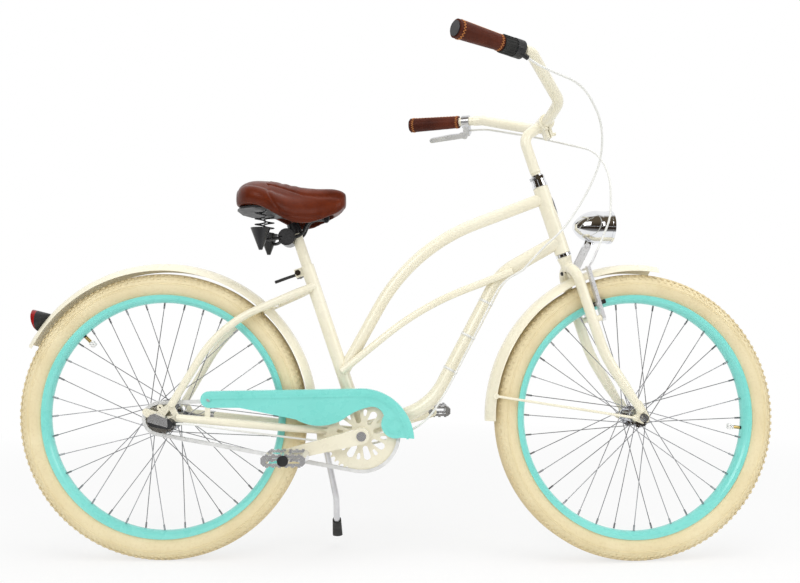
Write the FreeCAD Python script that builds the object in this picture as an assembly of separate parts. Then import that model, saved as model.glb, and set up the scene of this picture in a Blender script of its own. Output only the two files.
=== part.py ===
import FreeCAD, Part
import math
import os
from FreeCAD import Placement, Rotation
from FreeCAD import Vector as V

# Beach cruiser bicycle in millimetres. X points forward, Y to the rider's left and Z up.
# The origin is on the ground, midway between the axles, in the frame's centre plane.
# The front end is modelled square to the steering axis, then leaned back and turned.

# Layout of the bicycle
wheelbase = 1108.0
wheel_radius = 335.0
bottom_bracket_drop = 37.0
head_lean_deg = 18.7
crown_over_tyre = 41.0
fork_offset = 39.7
seat_lean_deg = 18.5
turn_at_rest_deg = 7.0
crank_length = 170.0
crank_dip_deg = 14.0

# Chain drive: roller chain of half inch pitch
chain_pitch = 12.7
ring_teeth = 42
sprocket_teeth = 18
stay_over_tyre = 131.0
chain_line = 44.0
roller_radius = 3.9
roller_seat_clearance = 0.12
tooth_tip_height = 3.3
tooth_tip_half_share = 0.115
seat_half_angle_deg = 75.0
link_plate_height = 8.4
link_plate_thickness = 1.0
link_inner_width = 4.6
link_plate_gap = 0.15
link_pin_radius = 1.8
link_pin_proud = 0.35
pin_clearance = 0.05
ring_thickness = 2.4
sprocket_thickness = 2.4

# General fits
running_clearance = 0.05
seat_clearance = 0.3
overrun = 20.0
bend_room_share = 0.48

# Frame tubes
tube_wall = 1.8
head_tube_diameter = 36.0
head_tube_length = 164.0
head_tube_bore = 30.0
top_tube_diameter = 28.6
top_tube_bend = 505.0
top_tube_corner_share = 0.2443
top_tube_corner_rise = 21.0
top_tube_head_drop = 26.0
top_tube_seat_height = 148.0
down_tube_diameter = 34.0
down_tube_head_rise = 31.0
down_tube_upper_share = 0.6843
down_tube_upper_drop = 40.0
down_tube_upper_bend = 130.0
down_tube_lower_share = 0.3475
down_tube_lower_rise = 67.0
down_tube_lower_bend = 150.0
seat_tube_diameter = 31.8
seat_tube_length = 414.0
cantilever_diameter = 17.0
cantilever_wall = 1.5
cantilever_front_share = 0.7369
cantilever_front_drop = 35.0
cantilever_corner_share = 0.2907
cantilever_corner_drop = 117.0
cantilever_corner_spread = 24.0
cantilever_seat_height = 152.0
cantilever_bend = 1100.0
cantilever_end_inset = 3.0

# Bottom bracket
shell_radius = 21.0
shell_width = 68.0
cup_radius = 17.0
cup_flange_radius = 20.0
cup_flange_width = 3.0
cup_depth = 14.0
spindle_radius = 8.5

# Rear stays and dropouts
stay_diameter = 18.0
stay_wall = 1.5
rear_hub_width = 120.0
dropout_thickness = 5.0
chain_stay_root_spread = 20.0
chain_stay_neck_reach = 90.0
chain_stay_neck_spread = 27.0
chain_stay_neck_rise = 8.0
chain_stay_flare_reach = 156.0
chain_stay_flare_spread = 44.0
chain_stay_flare_rise = 14.0
chain_stay_end_reach = 44.0
chain_stay_end_rise = 3.0
chain_stay_bend = 110.0
seat_stay_drop = 52.0
seat_stay_root_spread = 9.0
seat_stay_neck_back = 32.0
seat_stay_neck_drop = 14.0
seat_stay_neck_spread = 40.0
seat_stay_neck_bend = 26.0
seat_stay_corner_back = 211.0
seat_stay_corner_drop = 92.0
seat_stay_corner_spread = 53.0
seat_stay_bend = 520.0
seat_stay_end_reach = 30.0
seat_stay_end_rise = 30.0
bridge_diameter = 14.0
bridge_share = 0.34
dropout_eye_radius = 15.0
dropout_toe_radius = 7.5
dropout_lug_radius = 8.0
dropout_lug_back = 26.0
dropout_lug_rise = 17.0
eyelet_radius = 7.0
eyelet_bore = 2.5
eyelet_reach = 6.0
eyelet_rise = 27.0
window_shares = ((0.36, 0.2), (0.8, 0.3), (0.62, 0.72))
stand_plate_length = 44.0
stand_plate_thickness = 5.0
stand_plate_reach = 84.0
guard_tab_width = 12.0
guard_tab_thickness = 3.0
guard_tab_reach = 113.0
guard_bracket_width = 16.0
guard_bracket_height = 101.0

# Wheels
tyre_width = 54.0
tread_width = 27.0
tread_depth = 7.0
tyre_wall = 3.0
groove_width = 2.0
groove_depth = 1.6
groove_shares = (-0.3, 0.0, 0.3)
bead_thickness = 3.6
bead_depth = 7.0
bead_rise = 1.6
tyre_height = 48.5
rim_width = 34.0
rim_wall = 2.0
rim_side = 9.0
rim_depth = 19.0
tube_radius = 17.0
tube_skin = 1.3
valve_radius = 4.0
valve_length = 20.0
valve_cap_size = 13.0
valve_cap_round = 2.2
front_valve_deg = -6.3
rear_valve_deg = 135.0
spokes_per_wheel = 36
spoke_crossings = 3
spoke_radius = 1.0
spoke_head_radius = 1.7
spoke_head_length = 1.0
spoke_hole_clearance = 0.3
spoke_rim_offset = 3.0
spoke_lift = 2.4
nipple_radius = 2.2
nipple_length = 13.0
flange_thickness = 3.2

# Front hub and axle
axle_radius = 4.75
front_hub_width = 100.0
front_flange_radius = 24.0
front_flange_place = 29.0
front_barrel_radius = 13.0
front_shell_half = 38.0
front_cone_radius = 8.0
front_spoke_circle = 19.5
axle_nut_flats = 15.0
axle_nut_height = 9.0
axle_washer_radius = 10.0
axle_washer_thickness = 1.6
axle_stub = 4.0

# Rear gear hub and axle
rear_flange_radius = 38.0
rear_flange_place = 27.0
rear_barrel_radius = 30.0
rear_shell_half = 33.0
rear_cone_radius = 13.0
rear_spoke_circle = 33.5
sprocket_seat_radius = 10.0
sprocket_boss_radius = 19.0
sprocket_boss_width = 9.0
reaction_arm_reach = 98.0
reaction_arm_root_radius = 16.0
reaction_arm_tip_radius = 8.0
reaction_arm_thickness = 3.0
reaction_arm_place = 45.0
reaction_arm_drop = 16.0
reaction_clip_width = 12.0
reaction_clip_thickness = 1.5
click_box_length = 31.0
click_box_radius = 15.0
click_box_back_radius = 11.0
click_box_drop = 9.0
click_box_depth = 24.0

# Cranks and pedals
arm_inner = 66.0
arm_thickness = 14.0
arm_boss_radius = 18.0
arm_tip_radius = 13.0
crank_cap_radius = 11.0
crank_cap_height = 3.0
ring_boss_radius = 17.0
slot_inner_radius = 6.0
slot_outer_radius = 8.0
slot_start = 33.0
slot_end = 52.0
oval_inner_radius = 3.0
oval_outer_radius = 4.4
oval_start = 46.0
oval_end = 54.0
ring_pattern = 8
pedal_gap = 5.0
pedal_length = 96.0
pedal_width = 86.0
pedal_height = 24.0
pedal_chamfer = 6.0
pedal_rail = 8.0
pedal_barrel_radius = 11.5
pedal_spindle_radius = 7.0
pedal_window_height = 13.0
pedal_cap_radius = 12.0
pedal_cap_height = 4.0
pedal_tooth_height = 2.5
pedal_tooth_width = 6.0
pedal_tooth_count = 6

# Chain guard
guard_plane = 58.0
guard_thickness = 1.2
guard_flange = 20.0
guard_length = 490.0
guard_height = 114.0
guard_rib_height = 1.2
guard_rib_width = 5.0
guard_rib_drop = 13.0
guard_disc_radius = 18.0
guard_disc_width = 3.0
guard_screw_radius = 5.0
guard_screw_height = 2.5
guard_rear_shares = (-0.714, 0.716)
guard_disc_shares = (0.154, 0.19)
# Outline as shares of length and height from the crank: a start, then lines (one point) and arcs (two).
guard_outline_shares = (
    ((-0.714, 0.551),),
    ((-0.753, 0.716), (-0.714, 0.881)),
    ((-0.024, 0.932),),
    ((0.173, 0.623), (0.246, -0.07)),
    ((0.179, -0.05),),
    ((0.106, 0.044), (0.104, 0.39)),
    ((0.082, 0.526), (0.039, 0.57)),
    ((-0.012, 0.504), (-0.086, 0.32)),
    ((-0.194, 0.19), (-0.306, 0.316)),
    ((-0.571, 0.551),),
    ((-0.714, 0.551),),
)

# Fenders
fender_crest = 360.0
fender_edge = 342.0
fender_half_width = 33.0
fender_thickness = 1.2
rear_fender_start_deg = 3.0
rear_fender_end_deg = 152.0
front_fender_start_deg = 81.0
front_fender_end_deg = 181.0
fender_stay_radius = 3.0
fender_stay_pad_radius = 6.5
fender_pad_share = 1.5
fender_stay_pad_thickness = 2.4
rear_stay_deg = 140.0
front_stay_deg = 171.5

# Tail light
tail_light_deg = 141.0
tail_light_length = 40.0
tail_light_radius = 26.0
tail_light_nose_radius = 6.0
tail_lens_thickness = 2.5
tail_lens_radius = 23.0
tail_light_tilt_deg = 12.0
tail_light_rise = 7.0

# Kickstand
stand_leg_radius = 7.5
stand_pivot_drop = 32.0
stand_pivot_spread = 30.0
stand_body_height = 34.0
stand_body_width = 40.0
stand_knee_forward = 26.0
stand_knee_out = 24.0
stand_knee_drop = 134.0
stand_ankle_forward = 26.0
stand_ankle_out = 36.0
stand_ankle_drop = 183.0
stand_foot_forward = 25.0
stand_foot_out = 82.0
stand_foot_height = 28.0
stand_knee_bend = 60.0
stand_ankle_bend = 30.0
stand_foot_length = 62.0
stand_foot_radius = 10.5
stand_foot_flare = 2.5
stand_hub_radius = 12.0
stand_hub_length = 18.0
stand_pin_radius = 5.0
stand_pin_length = 14.0
stand_pivot_back = 8.0

# Seat post, binder and saddle
post_radius = 12.7
post_exposed = 78.0
post_buried = 120.0
post_wall = 2.0
post_neck_radius = 11.1
post_neck_length = 26.0
binder_ear_length = 15.0
binder_ear_height = 20.0
binder_ear_thickness = 5.0
binder_slit = 2.6
binder_slit_share = 1.5
binder_bolt_radius = 3.0
binder_bolt_reach = 9.0
binder_nut_flats = 13.0
binder_nut_height = 8.0
lever_cam_radius = 9.0
lever_cam_height = 13.0
lever_length = 62.0
lever_thickness = 7.0
lever_tip_radius = 7.5
lever_tip_out = 8.0
lever_gap = 1.0
lever_cam_share = 0.8
lever_slot_place_share = 2.9
lever_slot_steps = 6
lever_turn_deg = 150.0
saddle_length = 250.0
saddle_width = 236.0
saddle_height = 112.0
saddle_rear_reach = 112.7
saddle_base_rise = 22.0
saddle_recess_inset = 9.0
saddle_pan_thickness = 4.0
saddle_pan_rise = 36.0
saddle_hem_share = 0.9
saddle_shoulder_place_share = 0.72
# Stations from tail to nose: place, width, crown, shoulder and hem, as shares.
saddle_station_shares = (
    (0.0, 0.4, 0.84, 0.72, 0.5),
    (0.06, 0.8, 0.95, 0.78, 0.38),
    (0.2, 1.0, 1.0, 0.74, 0.37),
    (0.4, 0.92, 0.93, 0.6, 0.16),
    (0.57, 0.66, 0.85, 0.56, 0.02),
    (0.74, 0.42, 0.82, 0.6, 0.1),
    (0.88, 0.3, 0.82, 0.64, 0.24),
    (1.0, 0.14, 0.72, 0.62, 0.46),
)
saddle_clamp_back = 23.0
saddle_clamp_drop = 9.0
saddle_clamp_radius = 20.0
saddle_clamp_half = 27.0
rail_radius = 3.8
rail_half_gap = 20.0
rail_bend = 26.0
rail_clamp_share = 1.6
rail_nose_share = 0.66
rail_nose_rise = 44.0
rail_nose_inset = 48.0
nose_lug_width = 11.0
nose_lug_radius = 8.0
nose_pin_radius = 4.6
nose_pin_proud = 1.0
spring_spread = 60.0
spring_back = 58.0
spring_radius = 12.0
spring_wire = 3.6
spring_turns = 3
cone_top_radius = 23.0
cone_tip_radius = 4.0
cone_height = 50.0
cone_top_rise = 16.0

# Steering column, stem and handlebar
steerer_radius = 12.7
quill_radius = 11.1
cup_stack = 8.0
crown_race_radius = 17.0
crown_race_height = 3.0
headset_radius = 18.5
headset_flare = 1.5
lock_nut_height = 22.0
lock_nut_flats = 33.0
stem_corner_height = 298.0
stem_bend = 26.0
quill_bottom = 55.0
stem_reach = 58.7
stem_rise = 313.7
stem_radius = 12.5
clamp_radius = 18.5
clamp_width = 40.0
clamp_slit = 2.4
clamp_ear_reach = 30.0
clamp_bolt_radius = 4.0
bar_radius = 12.7
bar_end_radius = 11.1
bar_wall = 2.0
bar_centre_half = 25.0
bar_low_reach = 67.6
bar_low_spread = 105.0
bar_low_rise = 330.8
bar_high_reach = -8.8
bar_high_spread = 231.0
bar_high_rise = 416.8
bar_tip_reach = -174.3
bar_tip_spread = 320.0
bar_tip_rise = 480.2
bar_bend = 58.0
bar_centre_bend = 70.0
bar_swage_place = 22.0
bar_tip_bend_share = 0.35
grip_inner_radius = 15.5
grip_mid_radius = 17.0
grip_end_radius = 18.5
grip_plug_radius = 15.0
grip_plug_height = 3.0
grip_mid_share = 0.45
lever_hang_shares = (0.62, 0.0, -0.78)
left_grip_start = 62.0
right_grip_start = 84.0
shifter_place = 30.0
shifter_width = 22.0
shifter_radius = 19.0
sleeve_width = 31.0
sleeve_radius = 17.5
sleeve_ribs = 18
sleeve_rib_radius = 1.2
cable_port_radius = 5.0
cable_port_length = 22.0
cable_lead_share = 2.5
port_forward_share = 0.35
port_side_share = 0.1
lever_place = 34.0
lever_clamp_radius = 15.5
lever_clamp_width = 20.0
lever_pivot_reach = 36.0
lever_pivot_out = 6.0
lever_pin_radius = 3.0
lever_boss_radius = 8.0
lever_body_width = 12.0
lever_blade_length = 96.0
lever_blade_width = 8.0
lever_blade_tip_radius = 6.0
lever_blade_droop = 10.0
lever_neck_share = 0.8
lever_slot_share = 5.0
lever_waist_back_share = 1.4
lever_waist_rise_share = 2.6
lever_hook_share = 3.1
lever_port_reach_share = 0.7
lever_port_rise_share = 0.1

# Fork
blade_radius = 12.0
blade_tip_radius = 8.0
blade_wall = 2.0
blade_spread = 47.5
blade_tip_spread = 55.0
crown_drop = 22.0
crown_root_share = 0.11
crown_shoulder_drop = 42.0
crown_bend = 32.0
blade_curve_start = 170.0
blade_curve_corner = 245.0
blade_bend = 600.0
blade_taper_share = 0.55
fork_tip_thickness = 5.0
fork_tip_radius = 14.0
fork_tip_reach = 34.0
fork_eyelet_reach = 18.0
fork_eyelet_rise = 6.0
brake_boss_radius = 7.0
brake_boss_length = 9.0
brake_boss_drop = 160.0

# Front brake
brake_pin_radius = 4.0
brake_arm_length = 118.0
brake_arm_forward = 5.0
brake_arm_root_radius = 9.0
brake_arm_tip_radius = 6.0
brake_arm_thickness = 8.0
brake_arm_spread = 46.5
brake_arm_lean = 3.0
brake_nut_share = 0.7
brake_pad_length = 52.0
brake_pad_height = 10.0
brake_pad_gap = 1.7
brake_pad_thickness = 11.0
brake_pad_post_radius = 3.0
brake_wire_radius = 0.8
noodle_rise = 32.0
noodle_forward = 30.0
noodle_out = 10.0
noodle_lead_share = 0.8
noodle_end = 12.0
noodle_bend = 20.0
noodle_radius = 2.9
noodle_wall = 0.9
noodle_overlap = 10.0
boot_radius = 5.0
boot_length = 24.0

# Headlight
light_length = 90.0
light_radius = 38.0
light_centre_reach = 88.5
light_centre_rise = 46.4
light_skin = 1.6
light_bezel = 6.0
light_tail_radius = 9.0
light_belly_radius_share = 0.8
light_belly_place_share = -0.25
light_shoulder_share = 0.2
light_lug_radius = 8.0
light_lug_width = 10.0
light_pivot_reach = 59.6
light_pivot_rise = 6.0
lens_edge = 2.4
lens_bulge = 8.0
strap_width = 16.0
strap_thickness = 3.0
strap_root_reach = 21.0
strap_root_drop = 31.0
strap_gap = 0.4
light_pin_radius = 3.0
light_switch_radius = 5.0
light_switch_height = 4.0

# Cables
cable_radius = 2.4
shift_guide = (286.5, -24.0, 679.0)
shift_loop_route = (
    (392.0, -180.0, 1062.0), (439.0, -130.0, 1007.0), (454.5, -95.0, 965.0), (454.0, -70.0, 916.0),
    (427.0, -50.0, 847.0), (379.5, -36.0, 773.0), (334.0, -30.0, 732.0),
)
shift_run_route = (
    (236.0, -25.0, 650.0), (114.0, -23.0, 408.0), (60.0, -23.0, 318.0), (-60.0, -21.0, 272.0),
    (-130.0, -25.0, 272.0), (-194.0, -38.0, 283.0), (-350.0, -52.0, 304.0),
)
brake_route = (
    (345.0, 98.0, 1016.0), (455.7, 10.0, 966.0), (479.0, 0.0, 938.0), (489.0, -25.0, 893.0),
    (487.0, -42.0, 840.0), (483.0, -49.0, 795.0),
)

# Small helpers for shapes

X_AXIS = V(1, 0, 0)
Y_AXIS = V(0, 1, 0)
Z_AXIS = V(0, 0, 1)
ORIGIN = V(0, 0, 0)


def polar(radius, degrees, y=0.0):
    """Point in the X-Z plane at an angle from +X towards +Z."""
    angle = math.radians(degrees)
    return V(radius * math.cos(angle), y, radius * math.sin(angle))


def cylinder(start, axis, radius, length):
    return Part.makeCylinder(radius, length, start, axis)


def rounded_path(points, bends):
    """Straight runs joined by tangent arcs, one bend radius per inner corner."""
    edges = []
    last = points[0]
    for index in range(1, len(points) - 1):
        corner = points[index]
        back = (points[index - 1] - corner).normalize()
        ahead = (points[index + 1] - corner).normalize()
        half_turn = (math.pi - back.getAngle(ahead)) / 2
        room = min((points[index - 1] - corner).Length, (points[index + 1] - corner).Length) * bend_room_share
        trim = min(bends[index - 1] * math.tan(half_turn), room)
        radius = trim / math.tan(half_turn)
        middle = (back + ahead).normalize()
        enter = corner + back * trim
        leave = corner + ahead * trim
        peak = corner + middle * (radius / math.cos(half_turn) - radius)
        edges.append(Part.LineSegment(last, enter).toShape())
        edges.append(Part.Arc(enter, peak, leave).toShape())
        last = leave
    edges.append(Part.LineSegment(last, points[-1]).toShape())
    return Part.Wire(edges)


def circle_wire(centre, normal, radius):
    return Part.Wire([Part.Circle(centre, normal, radius).toShape()])


def rod(points, bends, radius, end_radius=None):
    """Round bar along a path, tapering to end_radius where it is given."""
    path = rounded_path(points, bends)
    profiles = [circle_wire(points[0], points[1] - points[0], radius)]
    if end_radius is not None:
        profiles.append(circle_wire(points[-1], points[-1] - points[-2], end_radius))
    return path.makePipeShell(profiles, True, False)


def tube(points, bends, radius, wall, end_radius=None):
    inner_end = None if end_radius is None else end_radius - wall
    return rod(points, bends, radius, end_radius).cut(rod(points, bends, radius - wall, inner_end))


def polygon_face(points):
    return Part.Face(Part.makePolygon(list(points) + [points[0]]))


def prism(points, along):
    return polygon_face(points).extrude(along)


def round_profile(points, axis=Y_AXIS, base=ORIGIN):
    """Full turn of a polygon drawn in a plane that holds the axis."""
    return polygon_face(points).revolve(base, axis, 360)


def link_face(start, start_radius, end, end_radius):
    """Flat face round two circles in the X-Z plane, with straight tangent sides."""
    along = end - start
    span = along.Length
    along = V(along).normalize()
    across = along.cross(Y_AXIS)
    lean = math.acos((start_radius - end_radius) / span)
    out = along * math.cos(lean) + across * math.sin(lean)
    back = along * math.cos(lean) - across * math.sin(lean)
    edges = [
        Part.Arc(
            start + out * start_radius, start - along * start_radius, start + back * start_radius
        ).toShape(),
        Part.LineSegment(start + back * start_radius, end + back * end_radius).toShape(),
        Part.Arc(end + back * end_radius, end + along * end_radius, end + out * end_radius).toShape(),
        Part.LineSegment(end + out * end_radius, start + out * start_radius).toShape(),
    ]
    return Part.Face(Part.Wire(edges))


def link_plate(start, start_radius, end, end_radius, thickness):
    """Plate round two circles, grown along +Y from the plane of its centres."""
    return link_face(start, start_radius, end, end_radius).extrude(Y_AXIS * thickness)


def hexagon(centre, axis, flats, height):
    """Hexagonal prism that starts at centre and grows along axis."""
    corner = flats / math.sqrt(3)
    points = [V(corner * math.cos(math.pi * k / 3), corner * math.sin(math.pi * k / 3), 0) for k in range(6)]
    nut = prism(points, Z_AXIS * height)
    nut.Placement = Placement(centre, Rotation(Z_AXIS, axis))
    return nut


def block(centre, size_x, size_y, size_z):
    return Part.makeBox(size_x, size_y, size_z, centre - V(size_x, size_y, size_z) / 2)


def fused(first, *others):
    shape = first
    for other in others:
        shape = shape.fuse(other)
    return shape.removeSplitter()


def mirrored(shape):
    """The same piece on the other side of the centre plane."""
    return shape.mirror(ORIGIN, Y_AXIS)


def both_sides(shape):
    return [shape, mirrored(shape)]


def placed(shape, place):
    copy = shape.copy()
    copy.Placement = place.multiply(copy.Placement)
    return copy


# Places worked out from the layout

front_axle = V(wheelbase / 2, 0, wheel_radius)
rear_axle = V(-wheelbase / 2, 0, wheel_radius)
rim_radius = wheel_radius - tyre_height
bottom_bracket_height = wheel_radius - bottom_bracket_drop
crown_rise = wheel_radius + crown_over_tyre
crown_race = front_axle + V(-crown_rise * math.tan(math.radians(head_lean_deg)) - fork_offset, 0, crown_rise)


def pitch_radius(teeth):
    return chain_pitch / (2 * math.sin(math.pi / teeth))


ring_pitch_radius = pitch_radius(ring_teeth)
sprocket_pitch_radius = pitch_radius(sprocket_teeth)


def chain_links():
    """Even count of links that brings the crank nearest to its place in front of the rear tyre."""
    distance = wheel_radius + stay_over_tyre
    lead = (ring_teeth - sprocket_teeth) / (2 * math.pi)
    links = 2 * distance / chain_pitch + (ring_teeth + sprocket_teeth) / 2
    links += lead ** 2 * chain_pitch / distance
    return 2 * round(links / 2)


link_count = chain_links()


def drive_centre_distance():
    """Distance between crank and rear axle at which the chain's links close with no slack."""
    drop = ring_pitch_radius - sprocket_pitch_radius
    distance = chain_pitch * link_count / 4
    for _ in range(60):
        wrap = math.asin(drop / distance)
        on_teeth = (ring_teeth + sprocket_teeth) / 2 + (ring_teeth - sprocket_teeth) * wrap / math.pi
        run = (link_count - on_teeth) * chain_pitch / 2
        distance = math.hypot(run, drop)
    return distance


drive_distance = drive_centre_distance()
axle_drop = rear_axle.z - bottom_bracket_height
crank_centre = V(rear_axle.x + math.sqrt(drive_distance ** 2 - axle_drop ** 2), 0, bottom_bracket_height)

# The seat tube's own frame has its origin at the crank, Z up the tube and X square to it.
seat_place = Placement(crank_centre, Rotation(Y_AXIS, -seat_lean_deg))
# The front end's own frame has its origin at the crown race and Z up the steering axis.
head_place = Placement(crown_race, Rotation(Y_AXIS, -head_lean_deg))
steer_place = head_place.multiply(Placement(ORIGIN, Rotation(Z_AXIS, turn_at_rest_deg)))
front_hub = head_place.inverse().multVec(front_axle)


def on_seat_tube(shape):
    return placed(shape, seat_place)


def on_head(shape):
    return placed(shape, head_place)


def steered(shape):
    return placed(shape, steer_place)


def head_point(height):
    return head_place.multVec(V(0, 0, height))


def seat_point(height):
    return seat_place.multVec(V(0, 0, height))


def frame_x(share):
    """Place along the frame, from 0 at the crank to 1 at the crown race."""
    return crank_centre.x + (crown_race.x - crank_centre.x) * share


def top_tube_corner():
    return V(frame_x(top_tube_corner_share), 0, crown_race.z + top_tube_corner_rise)


head_tube_start = cup_stack + crown_race_height / 3
head_tube_end = head_tube_start + head_tube_length

# Frame


def head_tube_solid(radius):
    return on_head(cylinder(V(0, 0, head_tube_start), Z_AXIS, radius, head_tube_length))


def head_tube():
    bore = on_head(cylinder(ORIGIN, Z_AXIS, head_tube_bore / 2, head_tube_end + overrun))
    return head_tube_solid(head_tube_diameter / 2).cut(bore)


def shell_solid():
    return cylinder(crank_centre - Y_AXIS * shell_width / 2, Y_AXIS, shell_radius, shell_width)


def bottom_bracket_shell():
    bore = cylinder(
        crank_centre - Y_AXIS * shell_width, Y_AXIS, cup_radius + running_clearance, shell_width * 2
    )
    return shell_solid().cut(bore)


def bottom_bracket_cups():
    """Pair of flanged cups that screw into the shell and carry the spindle."""
    half = shell_width / 2
    bore = spindle_radius + running_clearance
    points = [
        V(bore, half - cup_depth, 0),
        V(cup_radius, half - cup_depth, 0),
        V(cup_radius, half, 0),
        V(cup_flange_radius, half, 0),
        V(cup_flange_radius, half + cup_flange_width, 0),
        V(bore, half + cup_flange_width, 0),
    ]
    cup = round_profile(points)
    cup.translate(crank_centre)
    return Part.makeCompound(both_sides(cup))


def seat_tube_solid():
    return on_seat_tube(cylinder(ORIGIN, Z_AXIS, seat_tube_diameter / 2, seat_tube_length))


binder_place = -(seat_tube_diameter / 2 + binder_bolt_reach)
binder_height = seat_tube_length - binder_ear_height / 2


def seat_tube():
    """Seat tube with a slit top and two binder ears behind it."""
    ear_start = binder_place - binder_ear_length / 2
    ear_span = -ear_start
    ears = Part.makeBox(
        ear_span,
        binder_slit + 2 * binder_ear_thickness,
        binder_ear_height,
        V(ear_start, -binder_slit / 2 - binder_ear_thickness, seat_tube_length - binder_ear_height),
    )
    slit = Part.makeBox(
        ear_span + overrun,
        binder_slit,
        binder_ear_height * 2,
        V(
            ear_start - overrun, -binder_slit / 2, seat_tube_length - binder_ear_height * binder_slit_share
        ),
    )
    bolt_hole = cylinder(
        V(binder_place, -overrun, binder_height), Y_AXIS, binder_bolt_radius, overrun * 2
    )
    bore = cylinder(
        V(0, 0, -overrun), Z_AXIS, post_radius + running_clearance, seat_tube_length + overrun * 2
    )
    body = cylinder(ORIGIN, Z_AXIS, seat_tube_diameter / 2, seat_tube_length).fuse(ears)
    body = body.cut(slit).cut(bolt_hole).cut(bore)
    return on_seat_tube(body).cut(shell_solid())


def top_tube():
    corner = top_tube_corner()
    points = [head_point(head_tube_end - top_tube_head_drop), corner, seat_point(top_tube_seat_height)]
    shape = tube(points, [top_tube_bend], top_tube_diameter / 2, tube_wall)
    return shape.cut(head_tube_solid(head_tube_diameter / 2)).cut(seat_tube_solid())


def down_tube_points():
    return [
        head_point(head_tube_start + down_tube_head_rise),
        V(frame_x(down_tube_upper_share), 0, crown_race.z - down_tube_upper_drop),
        V(frame_x(down_tube_lower_share), 0, crank_centre.z + down_tube_lower_rise),
        crank_centre,
    ]


def down_tube_solid():
    return rod(down_tube_points(), [down_tube_upper_bend, down_tube_lower_bend], down_tube_diameter / 2)


def down_tube():
    shape = tube(
        down_tube_points(), [down_tube_upper_bend, down_tube_lower_bend], down_tube_diameter / 2, tube_wall
    )
    shape = shape.cut(head_tube_solid(head_tube_diameter / 2)).cut(shell_solid())
    return shape.cut(seat_tube_solid())


def cantilever_tubes():
    """Slim twin tubes, one each side, from the down tube's flanks to the seat tube's."""
    front_spread = down_tube_diameter / 2 + cantilever_end_inset
    rear_spread = seat_tube_diameter / 2 + cantilever_end_inset
    rear = seat_point(cantilever_seat_height)
    points = [
        V(frame_x(cantilever_front_share), front_spread, crown_race.z - cantilever_front_drop),
        V(frame_x(cantilever_corner_share), cantilever_corner_spread, crown_race.z - cantilever_corner_drop),
        V(rear.x, rear_spread, rear.z),
    ]
    shape = tube(points, [cantilever_bend], cantilever_diameter / 2, cantilever_wall)
    shape = shape.cut(down_tube_solid()).cut(seat_tube_solid())
    shape = shape.cut(rod([head_point(head_tube_end - top_tube_head_drop),
                           top_tube_corner(),
                           seat_point(top_tube_seat_height)], [top_tube_bend], top_tube_diameter / 2))
    return Part.makeCompound(both_sides(largest(shape)))


def largest(shape):
    return max(shape.Solids, key=lambda solid: solid.Volume)


dropout_spread = rear_hub_width / 2


def dropout():
    """Left dropout plate: axle eye with a slot, rack eyelet and a lightening window."""
    toe_low = V(chain_stay_end_reach, 0, chain_stay_end_rise)
    toe_high = V(seat_stay_end_reach, 0, seat_stay_end_rise)
    stay_lug = V(-dropout_lug_back, 0, dropout_lug_rise)
    plate = fused(
        link_plate(ORIGIN, dropout_eye_radius, toe_low, dropout_toe_radius, dropout_thickness),
        link_plate(ORIGIN, dropout_eye_radius, toe_high, dropout_toe_radius, dropout_thickness),
        link_plate(toe_low, dropout_toe_radius, toe_high, dropout_toe_radius, dropout_thickness),
        cylinder(V(eyelet_reach, 0, eyelet_rise), Y_AXIS, eyelet_radius, dropout_thickness),
        link_plate(ORIGIN, dropout_eye_radius, stay_lug, dropout_lug_radius, dropout_thickness),
    )
    slot = Part.makeBox(
        dropout_eye_radius * 2,
        dropout_thickness * 3,
        axle_radius * 2 + running_clearance * 2,
        V(-dropout_eye_radius * 2, -dropout_thickness, -axle_radius - running_clearance),
    )
    eye = cylinder(
        V(0, -dropout_thickness, 0), Y_AXIS, axle_radius + running_clearance, dropout_thickness * 3
    )
    hole = cylinder(
        V(eyelet_reach, -dropout_thickness, eyelet_rise), Y_AXIS, eyelet_bore, dropout_thickness * 3
    )
    window = prism(
        [V(chain_stay_end_reach * a, -dropout_thickness, seat_stay_end_rise * b) for a, b in window_shares],
        Y_AXIS * dropout_thickness * 3,
    )
    plate = plate.cut(slot).cut(eye).cut(hole).cut(window)
    plate.translate(rear_axle + Y_AXIS * dropout_spread)
    return plate


stay_end_spread = dropout_spread + dropout_thickness / 2


def chain_stay_points():
    return [
        V(crank_centre.x, chain_stay_root_spread, crank_centre.z),
        crank_centre + V(-chain_stay_neck_reach, chain_stay_neck_spread, chain_stay_neck_rise),
        crank_centre + V(-chain_stay_flare_reach, chain_stay_flare_spread, chain_stay_flare_rise),
        V(rear_axle.x + chain_stay_end_reach, stay_end_spread, rear_axle.z + chain_stay_end_rise),
    ]


def chain_stay_solid(radius):
    return rod(chain_stay_points(), [chain_stay_bend, chain_stay_bend], radius)


def guard_tab():
    """Tab on the right chain stay that the chain guard's rear screw goes into."""
    foot = V(rear_axle.x + guard_tab_reach, 0, rear_axle.z)
    height = guard_rear_height - rear_axle.z + guard_tab_width / 2
    tab = Part.makeBox(
        guard_tab_width, guard_tab_thickness, height, foot - V(guard_tab_width / 2, guard_plane, 0)
    )
    return tab


def chain_stays():
    """Both chain stays with their dropouts, the kickstand plate between them and the guard's tab."""
    bore = chain_stay_solid(stay_diameter / 2 - stay_wall)
    left = chain_stay_solid(stay_diameter / 2).cut(bore).cut(shell_solid())
    left = fused(largest(left), dropout())
    plate_centre = V(crank_centre.x - stand_plate_reach, 0, stand_plate_z)
    width = 2 * chain_stay_neck_spread
    plate = block(plate_centre, stand_plate_length, width, stand_plate_thickness)
    tab = guard_tab().cut(mirrored(bore))
    right = fused(mirrored(left), tab)
    stay = chain_stay_solid(stay_diameter / 2)
    stand = largest(fused(plate, stand_bracket()).cut(stay).cut(mirrored(stay)))
    return Part.makeCompound([largest(left), largest(right), stand])


stand_plate_z = crank_centre.z + chain_stay_neck_rise - stay_diameter / 2


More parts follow.
